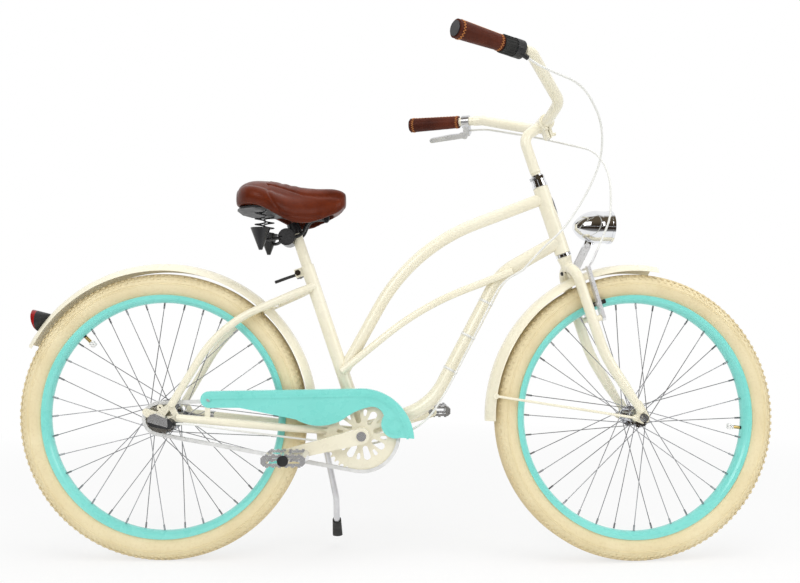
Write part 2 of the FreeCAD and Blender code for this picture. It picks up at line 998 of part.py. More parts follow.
def seat_stay_points():
    root = seat_point(seat_tube_length - seat_stay_drop)
    return [
        V(root.x, seat_stay_root_spread, root.z),
        V(root.x - seat_stay_neck_back, seat_stay_neck_spread, root.z - seat_stay_neck_drop),
        V(root.x - seat_stay_corner_back, seat_stay_corner_spread, root.z - seat_stay_corner_drop),
        V(rear_axle.x + seat_stay_end_reach, stay_end_spread, rear_axle.z + seat_stay_end_rise),
    ]


def bridge_point():
    points = seat_stay_points()
    return points[1] + (points[2] - points[1]) * bridge_share


def bridge_rod():
    at = bridge_point()
    return cylinder(V(at.x, -at.y, at.z), Y_AXIS, bridge_diameter / 2, 2 * at.y)


def seat_stays():
    """Both seat stays, slotted over the dropouts, with the bridge that carries the fender."""
    points = seat_stay_points()
    bends = [seat_stay_neck_bend, seat_stay_bend]
    stay = tube(points, bends, stay_diameter / 2, stay_wall).cut(seat_tube_solid()).cut(dropout())
    stay = largest(stay).cut(chain_stay_solid(stay_diameter / 2))
    bridge = bridge_rod().cut(rod(points, bends, stay_diameter / 2 - stay_wall))
    bridge = bridge.cut(mirrored(rod(points, bends, stay_diameter / 2 - stay_wall)))
    middle = max(bridge.Solids, key=lambda solid: solid.Volume)
    return Part.makeCompound(fused(largest(stay), middle, mirrored(largest(stay))).Solids)


# Headset


def headset_cups():
    """Lower and upper cups pressed into the head tube."""
    bore = steerer_radius + running_clearance
    skirt = head_tube_bore / 2
    base = head_tube_start
    cup = [
        V(bore, 0, 0),
        V(headset_radius - headset_flare, 0, 0),
        V(headset_radius, 0, -headset_flare),
        V(headset_radius, 0, -cup_stack),
        V(bore, 0, -cup_stack),
    ]
    shapes = []
    for height, flip in ((base, 1), (head_tube_end, -1)):
        points = [V(p.x, 0, height + p.z * flip) for p in cup]
        shell = round_profile(points, Z_AXIS)
        plug = cylinder(V(0, 0, height), Z_AXIS * flip, skirt, cup_stack)
        plug = plug.cut(cylinder(V(0, 0, height - overrun), Z_AXIS, bore, 2 * overrun))
        shapes.append(on_head(shell.fuse(plug)))
    return Part.makeCompound(shapes)


lock_nut_base = head_tube_end + cup_stack + seat_clearance


def headset_locknut():
    """Adjusting race and hexagonal lock nut on the steerer."""
    bore = steerer_radius + running_clearance
    race_height = lock_nut_height / 2
    race = cylinder(V(0, 0, lock_nut_base), Z_AXIS, headset_radius - headset_flare, race_height)
    nut = hexagon(V(0, 0, lock_nut_base + race_height), Z_AXIS, lock_nut_flats, lock_nut_height / 3)
    collar = cylinder(V(0, 0, lock_nut_base + race_height), Z_AXIS, bore + tube_wall, lock_nut_height / 2)
    body = fused(race, nut, collar).cut(
        cylinder(V(0, 0, lock_nut_base - overrun), Z_AXIS, bore, overrun * 3)
    )
    return steered(body)


steerer_top = lock_nut_base + lock_nut_height * 0.8

# Fork


def blade(radius, tip_radius):
    """One fork blade: out from the crown, down beside the wheel and curved forward to the axle."""
    corner = V(0, blade_spread, -blade_curve_corner)
    tip = V(front_hub.x, blade_tip_spread, front_hub.z + fork_tip_radius)
    taper = corner + (tip - corner) * blade_taper_share
    path = [V(0, 0, -crown_drop), V(0, blade_spread, -crown_shoulder_drop), corner, taper]
    cone = Part.makeCone(radius, tip_radius, (tip - taper).Length, taper, tip - taper)
    return rod(path, [crown_bend, blade_bend], radius).fuse(cone)


def fork_tip():
    """Flat end with the axle slot."""
    up = V(front_hub.x, 0, front_hub.z + fork_tip_reach) - V(front_hub.x, 0, front_hub.z)
    hub = V(front_hub.x, front_hub_width / 2, front_hub.z)
    plate = link_plate(hub, fork_tip_radius, hub + up, blade_tip_radius, fork_tip_thickness)
    eyelet = hub + V(-fork_eyelet_reach, 0, fork_eyelet_rise)
    plate = fused(plate, link_plate(hub, fork_tip_radius, eyelet, eyelet_radius, fork_tip_thickness))
    plate = plate.cut(
        cylinder(eyelet - Y_AXIS * fork_tip_thickness, Y_AXIS, eyelet_bore, fork_tip_thickness * 3)
    )
    slot_half = axle_radius + running_clearance
    slot = Part.makeBox(
        2 * slot_half,
        fork_tip_thickness * 3,
        fork_tip_radius * 2,
        hub - V(slot_half, fork_tip_thickness, fork_tip_radius * 2),
    )
    eye = cylinder(hub - Y_AXIS * fork_tip_thickness, Y_AXIS, slot_half, fork_tip_thickness * 3)
    return plate.cut(slot).cut(eye)


def brake_boss():
    start = V(0, blade_spread, -brake_boss_drop)
    boss = cylinder(start, X_AXIS, brake_boss_radius, blade_radius + brake_boss_length - seat_clearance)
    pin = cylinder(
        start, X_AXIS, brake_pin_radius, blade_radius + brake_boss_length + brake_arm_thickness
    )
    return boss.fuse(pin)


def fork():
    """Steerer, crown race, both blades, tips and brake bosses, welded as one."""
    solid_blade = blade(blade_radius, blade_tip_radius)
    hollow = blade(blade_radius - blade_wall, blade_tip_radius - blade_wall)
    half = solid_blade.fuse(brake_boss()).cut(hollow).fuse(fork_tip())
    crown_foot = -crown_drop - blade_radius
    steerer = cylinder(V(0, 0, crown_foot), Z_AXIS, steerer_radius + tube_wall, crown_drop)
    steerer = steerer.fuse(
        cylinder(V(0, 0, crown_foot), Z_AXIS, steerer_radius, steerer_top - crown_foot)
    )
    race = cylinder(V(0, 0, -crown_race_height), Z_AXIS, crown_race_radius, crown_race_height)
    crown = Part.makeCone(
        blade_radius, crown_race_radius, crown_drop - crown_race_height, V(0, 0, -crown_drop), Z_AXIS
    )
    bore_start = -crown_drop - blade_radius - overrun
    bore = cylinder(
        V(0, 0, bore_start), Z_AXIS, quill_radius + running_clearance, steerer_top - bore_start + overrun
    )
    body = fused(half, mirrored(half), steerer, race, crown).cut(bore)
    return steered(largest(body))


# Stem and handlebar

clamp_centre = V(stem_reach, 0, stem_rise)


def stem():
    """Quill, forward extension and the split clamp round the bar."""
    quill = cylinder(
        V(0, 0, quill_bottom), Z_AXIS, quill_radius, steerer_top + lock_nut_height - quill_bottom
    )
    points = [V(0, 0, steerer_top + lock_nut_height / 2), V(0, 0, stem_corner_height), clamp_centre]
    neck = rod(points, [stem_bend], stem_radius)
    barrel = cylinder(clamp_centre - Y_AXIS * clamp_width / 2, Y_AXIS, clamp_radius, clamp_width)
    ear = link_plate(
        clamp_centre - Y_AXIS * clamp_width / 3,
        clamp_radius / 2,
        clamp_centre + V(0, -clamp_width / 3, -clamp_ear_reach),
        clamp_bolt_radius * 2,
        clamp_width * 2 / 3,
    )
    bolt = cylinder(
        clamp_centre + V(-clamp_radius, 0, -clamp_ear_reach), X_AXIS, clamp_bolt_radius, clamp_radius * 2
    )
    slit = Part.makeBox(
        clamp_slit,
        clamp_width + overrun,
        clamp_ear_reach + overrun,
        clamp_centre - V(clamp_slit / 2, (clamp_width + overrun) / 2, clamp_ear_reach + overrun),
    )
    bore = cylinder(
        clamp_centre - Y_AXIS * clamp_width, Y_AXIS, bar_radius + running_clearance, clamp_width * 2
    )
    body = fused(quill, neck, barrel, ear).cut(slit).cut(bore)
    return steered(Part.makeCompound([largest(body)] + [largest(bolt.cut(body))]))


bar_tip = V(bar_tip_reach, bar_tip_spread, bar_tip_rise)
bar_high = V(bar_high_reach, bar_high_spread, bar_high_rise)
grip_axis = (bar_tip - bar_high).normalize()
grip_run = (bar_tip - bar_high).Length


def handlebar():
    """Swept-back bar: thick through the bends, swaged down under the grips."""
    half = [
        V(stem_reach, bar_centre_half, stem_rise),
        V(bar_low_reach, bar_low_spread, bar_low_rise),
        bar_high,
        bar_high + grip_axis * bar_swage_place,
    ]
    other = [V(p.x, -p.y, p.z) for p in reversed(half)]
    tip_bend = bar_bend * bar_tip_bend_share
    bends = [tip_bend, bar_bend, bar_centre_bend, bar_centre_bend, bar_bend, tip_bend]
    points = other + half
    middle = rod(points, bends, bar_radius)
    bore = rod(points, bends, bar_end_radius - bar_wall)
    end = cylinder(
        bar_high + grip_axis * bar_swage_place, grip_axis, bar_end_radius, grip_run - bar_swage_place
    )
    hole = cylinder(
        bar_high + grip_axis * bar_swage_place, grip_axis, bar_end_radius - bar_wall, grip_run + overrun
    )
    body = fused(middle, end, mirrored(end)).cut(bore).cut(hole).cut(mirrored(hole))
    return steered(largest(body))


grip_down = V(*lever_hang_shares)
grip_side = grip_axis.cross(grip_down).normalize()
grip_down = grip_side.cross(grip_axis).normalize()
left_bar_place = Placement(bar_high, Rotation(grip_down, grip_side, grip_axis, "ZXY"))


def on_left_bar(shape):
    """Places a piece drawn with Z out along the left grip and X down and forward."""
    return placed(shape, left_bar_place)


def on_right_bar(shape):
    return mirrored(placed(shape, left_bar_place))


def grip(start):
    """Wrapped grip that swells to its end, with a plug in the bar's open end."""
    length = grip_run - start
    bore = bar_end_radius + running_clearance
    edges = [
        Part.LineSegment(V(bore, 0, start), V(grip_inner_radius, 0, start)).toShape(),
        Part.Arc(
            V(grip_inner_radius, 0, start),
            V(grip_mid_radius, 0, start + length * grip_mid_share),
            V(grip_end_radius, 0, grip_run),
        ).toShape(),
        Part.LineSegment(V(grip_end_radius, 0, grip_run), V(bore, 0, grip_run)).toShape(),
        Part.LineSegment(V(bore, 0, grip_run), V(bore, 0, start)).toShape(),
    ]
    sleeve = Part.Face(Part.Wire(edges)).revolve(ORIGIN, Z_AXIS, 360)
    plug = cylinder(V(0, 0, grip_run), Z_AXIS, grip_plug_radius, grip_plug_height)
    return Part.makeCompound([sleeve, plug])


def grips():
    shapes = on_left_bar(grip(left_grip_start)).Solids + on_right_bar(grip(right_grip_start)).Solids
    return steered(Part.makeCompound(shapes))


def shifter_housing():
    """Fixed half of the twist shifter, with the port that the cable leaves by."""
    bore = cylinder(
        V(0, 0, shifter_place - overrun), Z_AXIS, bar_end_radius + running_clearance, overrun * 3
    )
    drum = cylinder(V(0, 0, shifter_place), Z_AXIS, shifter_radius, shifter_width)
    port_start = V(shifter_radius - cable_port_radius, 0, shifter_place + shifter_width / 2)
    port = cylinder(
        port_start, V(port_forward_share, port_side_share, -1), cable_port_radius, cable_port_length
    )
    body = fused(drum, port).cut(bore)
    return steered(on_right_bar(body))


def shifter_sleeve():
    """Turning half of the twist shifter, with grip ribs."""
    start = shifter_place + shifter_width + seat_clearance
    body = cylinder(V(0, 0, start), Z_AXIS, sleeve_radius, sleeve_width)
    for k in range(sleeve_ribs):
        angle = 2 * math.pi * k / sleeve_ribs
        at = V(sleeve_radius * math.cos(angle), sleeve_radius * math.sin(angle), start)
        body = body.fuse(cylinder(at, Z_AXIS, sleeve_rib_radius, sleeve_width))
    bore = cylinder(
        V(0, 0, start - overrun), Z_AXIS, bar_end_radius + running_clearance, sleeve_width + overrun * 2
    )
    return steered(on_right_bar(body.removeSplitter().cut(bore)))


lever_pivot = V(lever_pivot_reach, 0, lever_place + lever_clamp_width / 2 + lever_pivot_out)


def brake_lever_bracket():
    """Band clamp on the left bar with the fork that holds the lever's pin."""
    band = cylinder(V(0, 0, lever_place), Z_AXIS, lever_clamp_radius, lever_clamp_width)
    neck = block(
        V(lever_pivot_reach / 2, 0, lever_place + lever_clamp_width / 2),
        lever_pivot_reach,
        lever_body_width * 2,
        lever_clamp_width * lever_neck_share,
    )
    boss = cylinder(
        lever_pivot - Y_AXIS * lever_body_width, Y_AXIS, lever_boss_radius, lever_body_width * 2
    )
    slot = block(
        lever_pivot + V(lever_boss_radius / 2, 0, lever_boss_radius / 2),
        lever_boss_radius * lever_slot_share,
        lever_blade_width + 2 * seat_clearance,
        lever_boss_radius * 4,
    )
    pin = cylinder(
        lever_pivot - Y_AXIS * lever_body_width, Y_AXIS, lever_pin_radius, lever_body_width * 2
    )
    bore = cylinder(
        V(0, 0, lever_place - overrun), Z_AXIS, bar_end_radius + running_clearance, overrun * 4
    )
    keep = cylinder(V(0, 0, lever_place), Z_AXIS, lever_clamp_radius, lever_clamp_width)
    body = fused(neck, boss).cut(slot.cut(keep)).fuse(band).fuse(pin).cut(bore)
    return steered(on_left_bar(largest(body.removeSplitter())))


def brake_lever():
    """Lever blade that hangs from the pin and follows the grip."""
    tip = lever_pivot + V(lever_blade_droop, 0, lever_blade_length)
    start = lever_pivot - Y_AXIS * lever_blade_width / 2
    blade_shape = link_plate(start, lever_boss_radius, tip - Y_AXIS * lever_blade_width / 2,
                             lever_blade_tip_radius, lever_blade_width)
    hook = lever_blade_tip_radius * lever_hook_share
    waist = link_plate(
        start + V(
            -lever_boss_radius * lever_waist_back_share, 0, lever_boss_radius * lever_waist_rise_share
        ),
        lever_boss_radius,
        tip + V(-hook, -lever_blade_width / 2, -hook),
        lever_blade_tip_radius,
        lever_blade_width,
    )
    hole = cylinder(lever_pivot - Y_AXIS * lever_body_width, Y_AXIS, lever_pin_radius + running_clearance,
                    lever_body_width * 2)
    return steered(on_left_bar(largest(blade_shape.cut(waist).cut(hole))))


# Wheels


def tyre():
    """Open tyre section turned about the axle: grooved flat tread, round sides and beads."""
    half_tread = tread_width / 2
    crown = wheel_radius
    bead_y = rim_width / 2 - rim_wall - seat_clearance
    belly = (wheel_radius + rim_radius) / 2
    bead_top = rim_radius + bead_rise
    tread = []
    for share in groove_shares:
        place = share * tread_width
        tread.append(V(crown, place - groove_width / 2, 0))
        tread.append(V(crown - groove_depth, place - groove_width / 2, 0))
        tread.append(V(crown - groove_depth, place + groove_width / 2, 0))
        tread.append(V(crown, place + groove_width / 2, 0))
    line = [V(crown, -half_tread, 0)] + tread + [V(crown, half_tread, 0)]
    edges = [Part.LineSegment(a, b).toShape() for a, b in zip(line, line[1:])]
    inner_crown = crown - tread_depth
    inner_belly = tyre_width / 2 - tyre_wall
    inner_bead = bead_y - bead_thickness
    edges.append(
        Part.Arc(V(crown, half_tread, 0), V(belly, tyre_width / 2, 0), V(bead_top, bead_y, 0)).toShape()
    )
    foot = rim_radius - bead_depth
    outline = [
        V(bead_top, bead_y, 0),
        V(foot, bead_y, 0),
        V(foot, inner_bead, 0),
        V(bead_top, inner_bead, 0),
    ]
    edges += [Part.LineSegment(a, b).toShape() for a, b in zip(outline, outline[1:])]
    edges.append(
        Part.Arc(
            V(bead_top, inner_bead, 0), V(belly, inner_belly, 0), V(inner_crown, half_tread, 0)
        ).toShape()
    )
    edges.append(
        Part.LineSegment(V(inner_crown, half_tread, 0), V(inner_crown, -half_tread, 0)).toShape()
    )
    edges.append(
        Part.Arc(
            V(inner_crown, -half_tread, 0), V(belly, -inner_belly, 0), V(bead_top, -inner_bead, 0)
        ).toShape()
    )
    outline = [V(p.x, -p.y, 0) for p in reversed(outline)]
    edges += [Part.LineSegment(a, b).toShape() for a, b in zip(outline, outline[1:])]
    edges.append(
        Part.Arc(
            V(bead_top, -bead_y, 0), V(belly, -tyre_width / 2, 0), V(crown, -half_tread, 0)
        ).toShape()
    )
    return Part.Face(Part.Wire(Part.__sortEdges__(edges))).revolve(ORIGIN, Y_AXIS, 360)


def rim(valve_deg):
    """Channel rim with a rounded well and a hole for the valve."""
    half = rim_width / 2
    shoulder = rim_radius - rim_side
    inner = half - rim_wall
    edges = [
        Part.LineSegment(V(rim_radius, -half, 0), V(shoulder, -half, 0)).toShape(),
        Part.Arc(V(shoulder, -half, 0), V(rim_radius - rim_depth, 0, 0), V(shoulder, half, 0)).toShape(),
        Part.LineSegment(V(shoulder, half, 0), V(rim_radius, half, 0)).toShape(),
        Part.LineSegment(V(rim_radius, half, 0), V(rim_radius, inner, 0)).toShape(),
        Part.LineSegment(V(rim_radius, inner, 0), V(shoulder, inner, 0)).toShape(),
        Part.Arc(
            V(shoulder, inner, 0), V(rim_radius - rim_depth + rim_wall, 0, 0), V(shoulder, -inner, 0)
        ).toShape(),
        Part.LineSegment(V(shoulder, -inner, 0), V(rim_radius, -inner, 0)).toShape(),
        Part.LineSegment(V(rim_radius, -inner, 0), V(rim_radius, -half, 0)).toShape(),
    ]
    ring = Part.Face(Part.Wire(edges)).revolve(ORIGIN, Y_AXIS, 360)
    outward = polar(1, valve_deg)
    hole = cylinder(
        outward * (rim_radius - rim_depth * 2), outward, valve_radius + seat_clearance, rim_depth * 2
    )
    return ring.cut(hole)


def inner_tube(valve_deg):
    """Air tube inside the tyre with its valve through the rim, and the valve's cap."""
    centre = wheel_radius - tread_depth - seat_clearance - tube_radius
    ring = Part.makeTorus(centre, tube_radius, ORIGIN, Y_AXIS)
    hollow = Part.makeTorus(centre, tube_radius - tube_skin, ORIGIN, Y_AXIS)
    outward = polar(1, valve_deg)
    foot = rim_radius - rim_depth - valve_length
    stem_length = centre - tube_radius + tube_skin / 2 - foot
    stem_shape = cylinder(outward * foot, outward, valve_radius, stem_length)
    cap = block(ORIGIN, valve_cap_size, valve_cap_size, valve_cap_size)
    cap = cap.makeFillet(valve_cap_round, cap.Edges)
    cap.Placement = Placement(outward * (foot - valve_cap_size / 2), Rotation(Z_AXIS, outward))
    return Part.makeCompound([ring.fuse(stem_shape).cut(hollow), cap])


def spokes(circle, flange_place):
    """Crossed spokes: elbow and head in the flange hole, nipple at the rim."""
    per_side = spokes_per_wheel // 2
    pitch = 360.0 / per_side
    shapes = []
    for side in (1, -1):
        for k in range(per_side):
            hole_deg = k * pitch + (pitch / 2 if side < 0 else 0)
            turn = spoke_crossings * pitch * (1 if k % 2 == 0 else -1)
            outside = 1 if k % 2 == 0 else -1
            offset = flange_thickness / 2 + spoke_radius
            root_offset = offset + spoke_lift if outside > 0 else -offset
            root = polar(circle, hole_deg, side * (flange_place + root_offset))
            far = polar(circle, hole_deg, side * (flange_place - outside * offset))
            end = polar(rim_radius - rim_depth - seat_clearance, hole_deg + turn, side * spoke_rim_offset)
            along = (end - root).normalize()
            wire = cylinder(root, along, spoke_radius, (end - root).Length)
            nipple = cylinder(end - along * nipple_length, along, nipple_radius, nipple_length)
            elbow = cylinder(root, far - root, spoke_radius, (far - root).Length)
            head = cylinder(far, far - root, spoke_head_radius, spoke_head_length)
            shapes.append(wire.fuse([nipple, elbow, head]).removeSplitter())
    return Part.makeCompound([shape.Solids[0] for shape in shapes])


def flange_holes(circle, flange_place):
    per_side = spokes_per_wheel // 2
    pitch = 360.0 / per_side
    holes = []
    for side in (1, -1):
        for k in range(per_side):
            hole_deg = k * pitch + (pitch / 2 if side < 0 else 0)
            start = polar(circle, hole_deg, side * flange_place - flange_thickness)
            holes.append(
                cylinder(start, Y_AXIS, spoke_radius + spoke_hole_clearance, flange_thickness * 2)
            )
    return holes


def hub_shell(bore, half, barrel, flange_radius, flange_place, circle):
    """Turned hub shell with two drilled flanges."""
    end = (barrel + bore) / 2
    inside = flange_place - flange_thickness / 2
    outside = flange_place + flange_thickness / 2
    points = [
        V(bore, -half, 0),
        V(end, -half, 0),
        V(end, -outside, 0),
        V(flange_radius, -outside, 0),
        V(flange_radius, -inside, 0),
        V(barrel, -inside, 0),
        V(barrel, inside, 0),
        V(flange_radius, inside, 0),
        V(flange_radius, outside, 0),
        V(end, outside, 0),
        V(end, half, 0),
        V(bore, half, 0),
    ]
    return round_profile(points).cut(Part.makeCompound(flange_holes(circle, flange_place)))


def axle_nut(place, side):
    """Washer and hexagonal nut on one end of an axle."""
    washer = cylinder(V(0, place, 0), Y_AXIS * side, axle_washer_radius, axle_washer_thickness)
    nut = hexagon(
        V(0, place + side * axle_washer_thickness, 0), Y_AXIS * side, axle_nut_flats, axle_nut_height
    )
    bore = cylinder(
        V(0, place - side * overrun, 0), Y_AXIS * side, axle_radius + running_clearance, overrun * 3
    )
    return washer.fuse(nut).cut(bore)


def front_axle_set():
    """Front axle with its two cones, and a nut outside each fork tip."""
    half = front_hub_width / 2
    outer = half + fork_tip_thickness
    reach = outer + axle_washer_thickness + axle_nut_height + axle_stub
    inner = front_flange_place - front_barrel_radius / 2
    shaft = cylinder(V(0, -reach, 0), Y_AXIS, axle_radius, 2 * reach)
    cone = cylinder(V(0, inner, 0), Y_AXIS, front_cone_radius, half - inner)
    shapes = [fused(shaft, cone, mirrored(cone)), axle_nut(outer, 1), axle_nut(-outer, -1)]
    return Part.makeCompound(shapes)


# Front brake

brake_pivot = V(blade_radius + brake_boss_length, blade_spread, -brake_boss_drop)
arm_lean = math.degrees(math.atan2(brake_arm_forward, brake_arm_length))


def brake_track_height(reach):
    """Height of the rim's brake track in the front end's frame."""
    radius = rim_radius - rim_side / 2
    return front_hub.z + math.sqrt(radius ** 2 - (reach - front_hub.x) ** 2)


def brake_arm():
    """Left linear-pull arm on its boss, with pad, pad holder and post."""
    tip = V(brake_arm_forward, brake_arm_spread - blade_spread, brake_arm_length)
    flat = link_face(ORIGIN, brake_arm_root_radius, V(tip.y, 0, tip.z), brake_arm_tip_radius)
    arm = flat.extrude(Y_AXIS * brake_arm_thickness)
    arm.Placement = Placement(ORIGIN, Rotation(Z_AXIS, -90))
    arm = mirrored(arm)
    arm.Placement = Placement(brake_pivot, Rotation(Y_AXIS, arm_lean)).multiply(arm.Placement)
    root = cylinder(brake_pivot, X_AXIS, brake_arm_root_radius, brake_arm_thickness)
    reach = brake_pivot.x + brake_arm_thickness / 2
    height = brake_track_height(reach)
    pad_y = rim_width / 2 + brake_pad_gap
    holder = cylinder(V(reach, pad_y + brake_pad_thickness, height), Y_AXIS, brake_pad_post_radius,
                      blade_spread - pad_y - brake_pad_thickness + brake_arm_root_radius
                      + axle_nut_height / 2)
    nut = hexagon(V(reach, blade_spread + brake_arm_root_radius - 2 * brake_arm_lean, height), Y_AXIS,
                  axle_nut_flats * brake_nut_share, axle_nut_height / 2)
    pad = Part.makeBox(brake_pad_length, brake_pad_thickness, brake_pad_height,
                       V(reach - brake_pad_length / 2, pad_y, height - brake_pad_height / 2))
    pad = pad.makeFillet(
        brake_arm_lean, [e for e in pad.Edges if abs(e.tangentAt(e.FirstParameter).y) > 0.9]
    )
    hole = cylinder(
        brake_pivot - X_AXIS * overrun, X_AXIS, brake_pin_radius + running_clearance, overrun * 3
    )
    body = fused(arm, root, holder, nut).cut(hole)
    return body.cut(pad), pad


def arm_tip():
    """Centre of the left arm's top end."""
    lean = Placement(brake_pivot, Rotation(Y_AXIS, arm_lean))
    top = lean.multVec(V(brake_arm_thickness / 2, 0, brake_arm_length))
    return V(top.x, brake_arm_spread, top.z)


def noodle_points():
    """Bent guide pipe on the right arm: down from the cable, then across to the left arm."""
    tip = arm_tip()
    out = -tip.y - noodle_out
    top = V(tip.x + noodle_forward, out, tip.z + noodle_rise)
    return [top, V(tip.x, out, tip.z), V(tip.x, -noodle_end, tip.z)]


def right_brake_arm():
    body, pad = brake_arm()
    pipe = tube(noodle_points(), [noodle_bend], noodle_radius, noodle_wall)
    solid_pipe = rod(noodle_points(), [noodle_bend], noodle_radius - noodle_wall)
    body = mirrored(body).cut(solid_pipe).fuse(pipe)
    return steered(Part.makeCompound([largest(body), mirrored(pad)]))


def left_brake_arm():
    body, pad = brake_arm()
    tip = arm_tip()
    boot = cylinder(tip - Y_AXIS * brake_arm_tip_radius, -Y_AXIS, boot_radius, boot_length)
    clamp = cylinder(
        tip - X_AXIS * brake_arm_thickness, X_AXIS, brake_pad_post_radius, brake_arm_thickness * 2
    )
    body = fused(body, boot, clamp)
    return steered(Part.makeCompound([largest(body), pad]))


# Headlight

light_place = Placement(
    V(light_centre_reach, 0, light_centre_rise), Rotation(Z_AXIS, V(math.cos(math.radians(head_lean_deg)), 0,
                                                                    -math.sin(math.radians(head_lean_deg))))
)
light_pivot = V(light_pivot_reach, 0, light_pivot_rise)


def bullet_face(trim):
    """Half outline of the bullet body, shrunk by trim all round."""
    back = -light_length / 2 + trim
    front = light_length / 2
    radius = light_radius - trim
    edges = [
        Part.LineSegment(V(0, 0, back), V(light_tail_radius - trim, 0, back)).toShape(),
        Part.Arc(
            V(light_tail_radius - trim, 0, back),
            V(radius * light_belly_radius_share, 0, light_length * light_belly_place_share),
            V(radius, 0, light_length * light_shoulder_share),
        ).toShape(),
        Part.LineSegment(
            V(radius, 0, light_length * light_shoulder_share), V(radius, 0, front)
        ).toShape(),
        Part.LineSegment(V(radius, 0, front), V(0, 0, front)).toShape(),
        Part.LineSegment(V(0, 0, front), V(0, 0, back)).toShape(),
    ]
    return Part.Face(Part.Wire(edges)).revolve(ORIGIN, Z_AXIS, 360)


def headlight_shell():
    """Bullet shell with a bezel, a top switch and the lug that it tilts on."""
    bezel_start = V(0, 0, light_length / 2 - light_bezel)
    bezel = cylinder(bezel_start, Z_AXIS, light_radius + light_skin, light_bezel)
    switch = cylinder(V(light_radius - light_skin * 2, 0, 0), X_AXIS, light_switch_radius,
                      light_switch_height + light_skin * 2)
    outer = fused(bullet_face(0), bezel)
    outer.Placement = light_place.multiply(outer.Placement)
    switch = on_light(switch.cut(bullet_face(light_skin)))
    lug = link_plate(light_pivot - Y_AXIS * light_lug_width / 2, light_lug_radius,
                     V(light_centre_reach, -light_lug_width / 2, light_centre_rise), light_lug_radius,
                     light_lug_width)
    pin_hole = cylinder(
        light_pivot - Y_AXIS * overrun, Y_AXIS, light_pin_radius + running_clearance, overrun * 2
    )
    hollow = on_light(bullet_face(light_skin))
    body = fused(outer, lug).cut(hollow).cut(pin_hole)
    return steered(fused(largest(body), switch))


def on_light(shape):
    return placed(shape, light_place)


def headlight_lens():
    """Domed glass in the bezel."""
    front = light_length / 2 - light_bezel
    radius = light_radius - light_skin - running_clearance
    dome = (radius ** 2 + lens_bulge ** 2) / (2 * lens_bulge)
    half = math.asin(radius / dome) / 2
    crown = front + lens_edge + lens_bulge
    edges = [
        Part.LineSegment(V(0, 0, front), V(radius, 0, front)).toShape(),
        Part.LineSegment(V(radius, 0, front), V(radius, 0, front + lens_edge)).toShape(),
        Part.Arc(
            V(radius, 0, front + lens_edge),
            V(dome * math.sin(half), 0, crown - dome * (1 - math.cos(half))),
            V(0, 0, crown),
        ).toShape(),
        Part.LineSegment(V(0, 0, crown), V(0, 0, front)).toShape(),
    ]
    return steered(on_light(Part.Face(Part.Wire(edges)).revolve(ORIGIN, Z_AXIS, 360)))


def headlight_bracket():
    """Two cheeks from the fork crown to the tilt pin, joined by a foot."""
    cheek_inner = light_lug_width / 2 + strap_gap
    root = V(strap_root_reach, cheek_inner, -strap_root_drop)
    cheek = link_plate(
        root, strap_width / 2, light_pivot + Y_AXIS * cheek_inner, light_lug_radius, strap_thickness
    )
    foot_width = 2 * (cheek_inner + strap_thickness)
    foot = block(
        V(strap_root_reach - strap_width / 2, 0, -strap_root_drop), strap_width, foot_width, strap_width
    )
    pin_half = cheek_inner + strap_thickness + light_switch_height
    pin = cylinder(light_pivot - Y_AXIS * pin_half, Y_AXIS, light_pin_radius, 2 * pin_half)
    body = fused(cheek, mirrored(cheek), foot, pin)
    crown = cylinder(V(0, 0, -crown_drop * 4), Z_AXIS, steerer_radius + tube_wall, crown_drop * 4)
    shoulder = rod([V(0, blade_spread * crown_root_share, -crown_drop),
                    V(0, blade_spread, -crown_shoulder_drop),
                    V(0, blade_spread, -blade_curve_start)], [crown_bend], blade_radius)
    body = body.cut(crown).cut(shoulder).cut(mirrored(shoulder))
    return steered(largest(body))


# Wheels in place

front_wheel_place = steer_place.multiply(Placement(front_hub, Rotation()))
rear_wheel_place = Placement(rear_axle, Rotation())


def rear_axle_set():
    """Fixed middle of the gear hub: axle, bearing steps, sprocket sleeve, nuts and the reaction arm."""
    outer = dropout_spread + dropout_thickness
    reach = outer + axle_washer_thickness + axle_nut_height + axle_stub
    shaft = cylinder(V(0, -reach, 0), Y_AXIS, axle_radius, 2 * reach)
    core = cylinder(V(0, -rear_shell_half, 0), Y_AXIS, rear_cone_radius, 2 * rear_shell_half)
    sleeve = cylinder(V(0, -dropout_spread, 0), Y_AXIS, sprocket_seat_radius, dropout_spread)
    spacer = cylinder(ORIGIN, Y_AXIS, sprocket_seat_radius, dropout_spread)
    arm_end = V(reaction_arm_reach, 0, -reaction_arm_drop)
    arm = link_plate(
        ORIGIN, reaction_arm_root_radius, arm_end, reaction_arm_tip_radius, reaction_arm_thickness
    )
    arm.translate(Y_AXIS * reaction_arm_place)
    body = fused(shaft, core, sleeve, spacer, arm)
    pieces = [body, axle_nut(outer, 1), axle_nut(-outer, -1)]
    for piece in pieces:
        piece.translate(rear_axle)
    return Part.makeCompound(pieces + [reaction_clip()])


def reaction_clip():
    """Band round the left chain stay with a tab bolted to the reaction arm."""
    points = chain_stay_points()
    along = (points[3] - points[2]).normalize()
    at = points[3] + along * (rear_axle.x + reaction_arm_reach - points[3].x) / along.x
    start = at - along * reaction_clip_width / 2
    band = cylinder(start, along, stay_diameter / 2 + reaction_clip_thickness, reaction_clip_width)
    tab_top = at.z - stay_diameter / 2 + reaction_clip_thickness
    tab_bottom = rear_axle.z - reaction_arm_drop - reaction_arm_tip_radius
    tab_start = reaction_arm_place + reaction_arm_thickness
    tab = Part.makeBox(reaction_clip_width, at.y - tab_start, tab_top - tab_bottom,
                       V(at.x - reaction_clip_width / 2, tab_start, tab_bottom))
    return band.fuse(tab).removeSplitter().cut(chain_stay_solid(stay_diameter / 2))


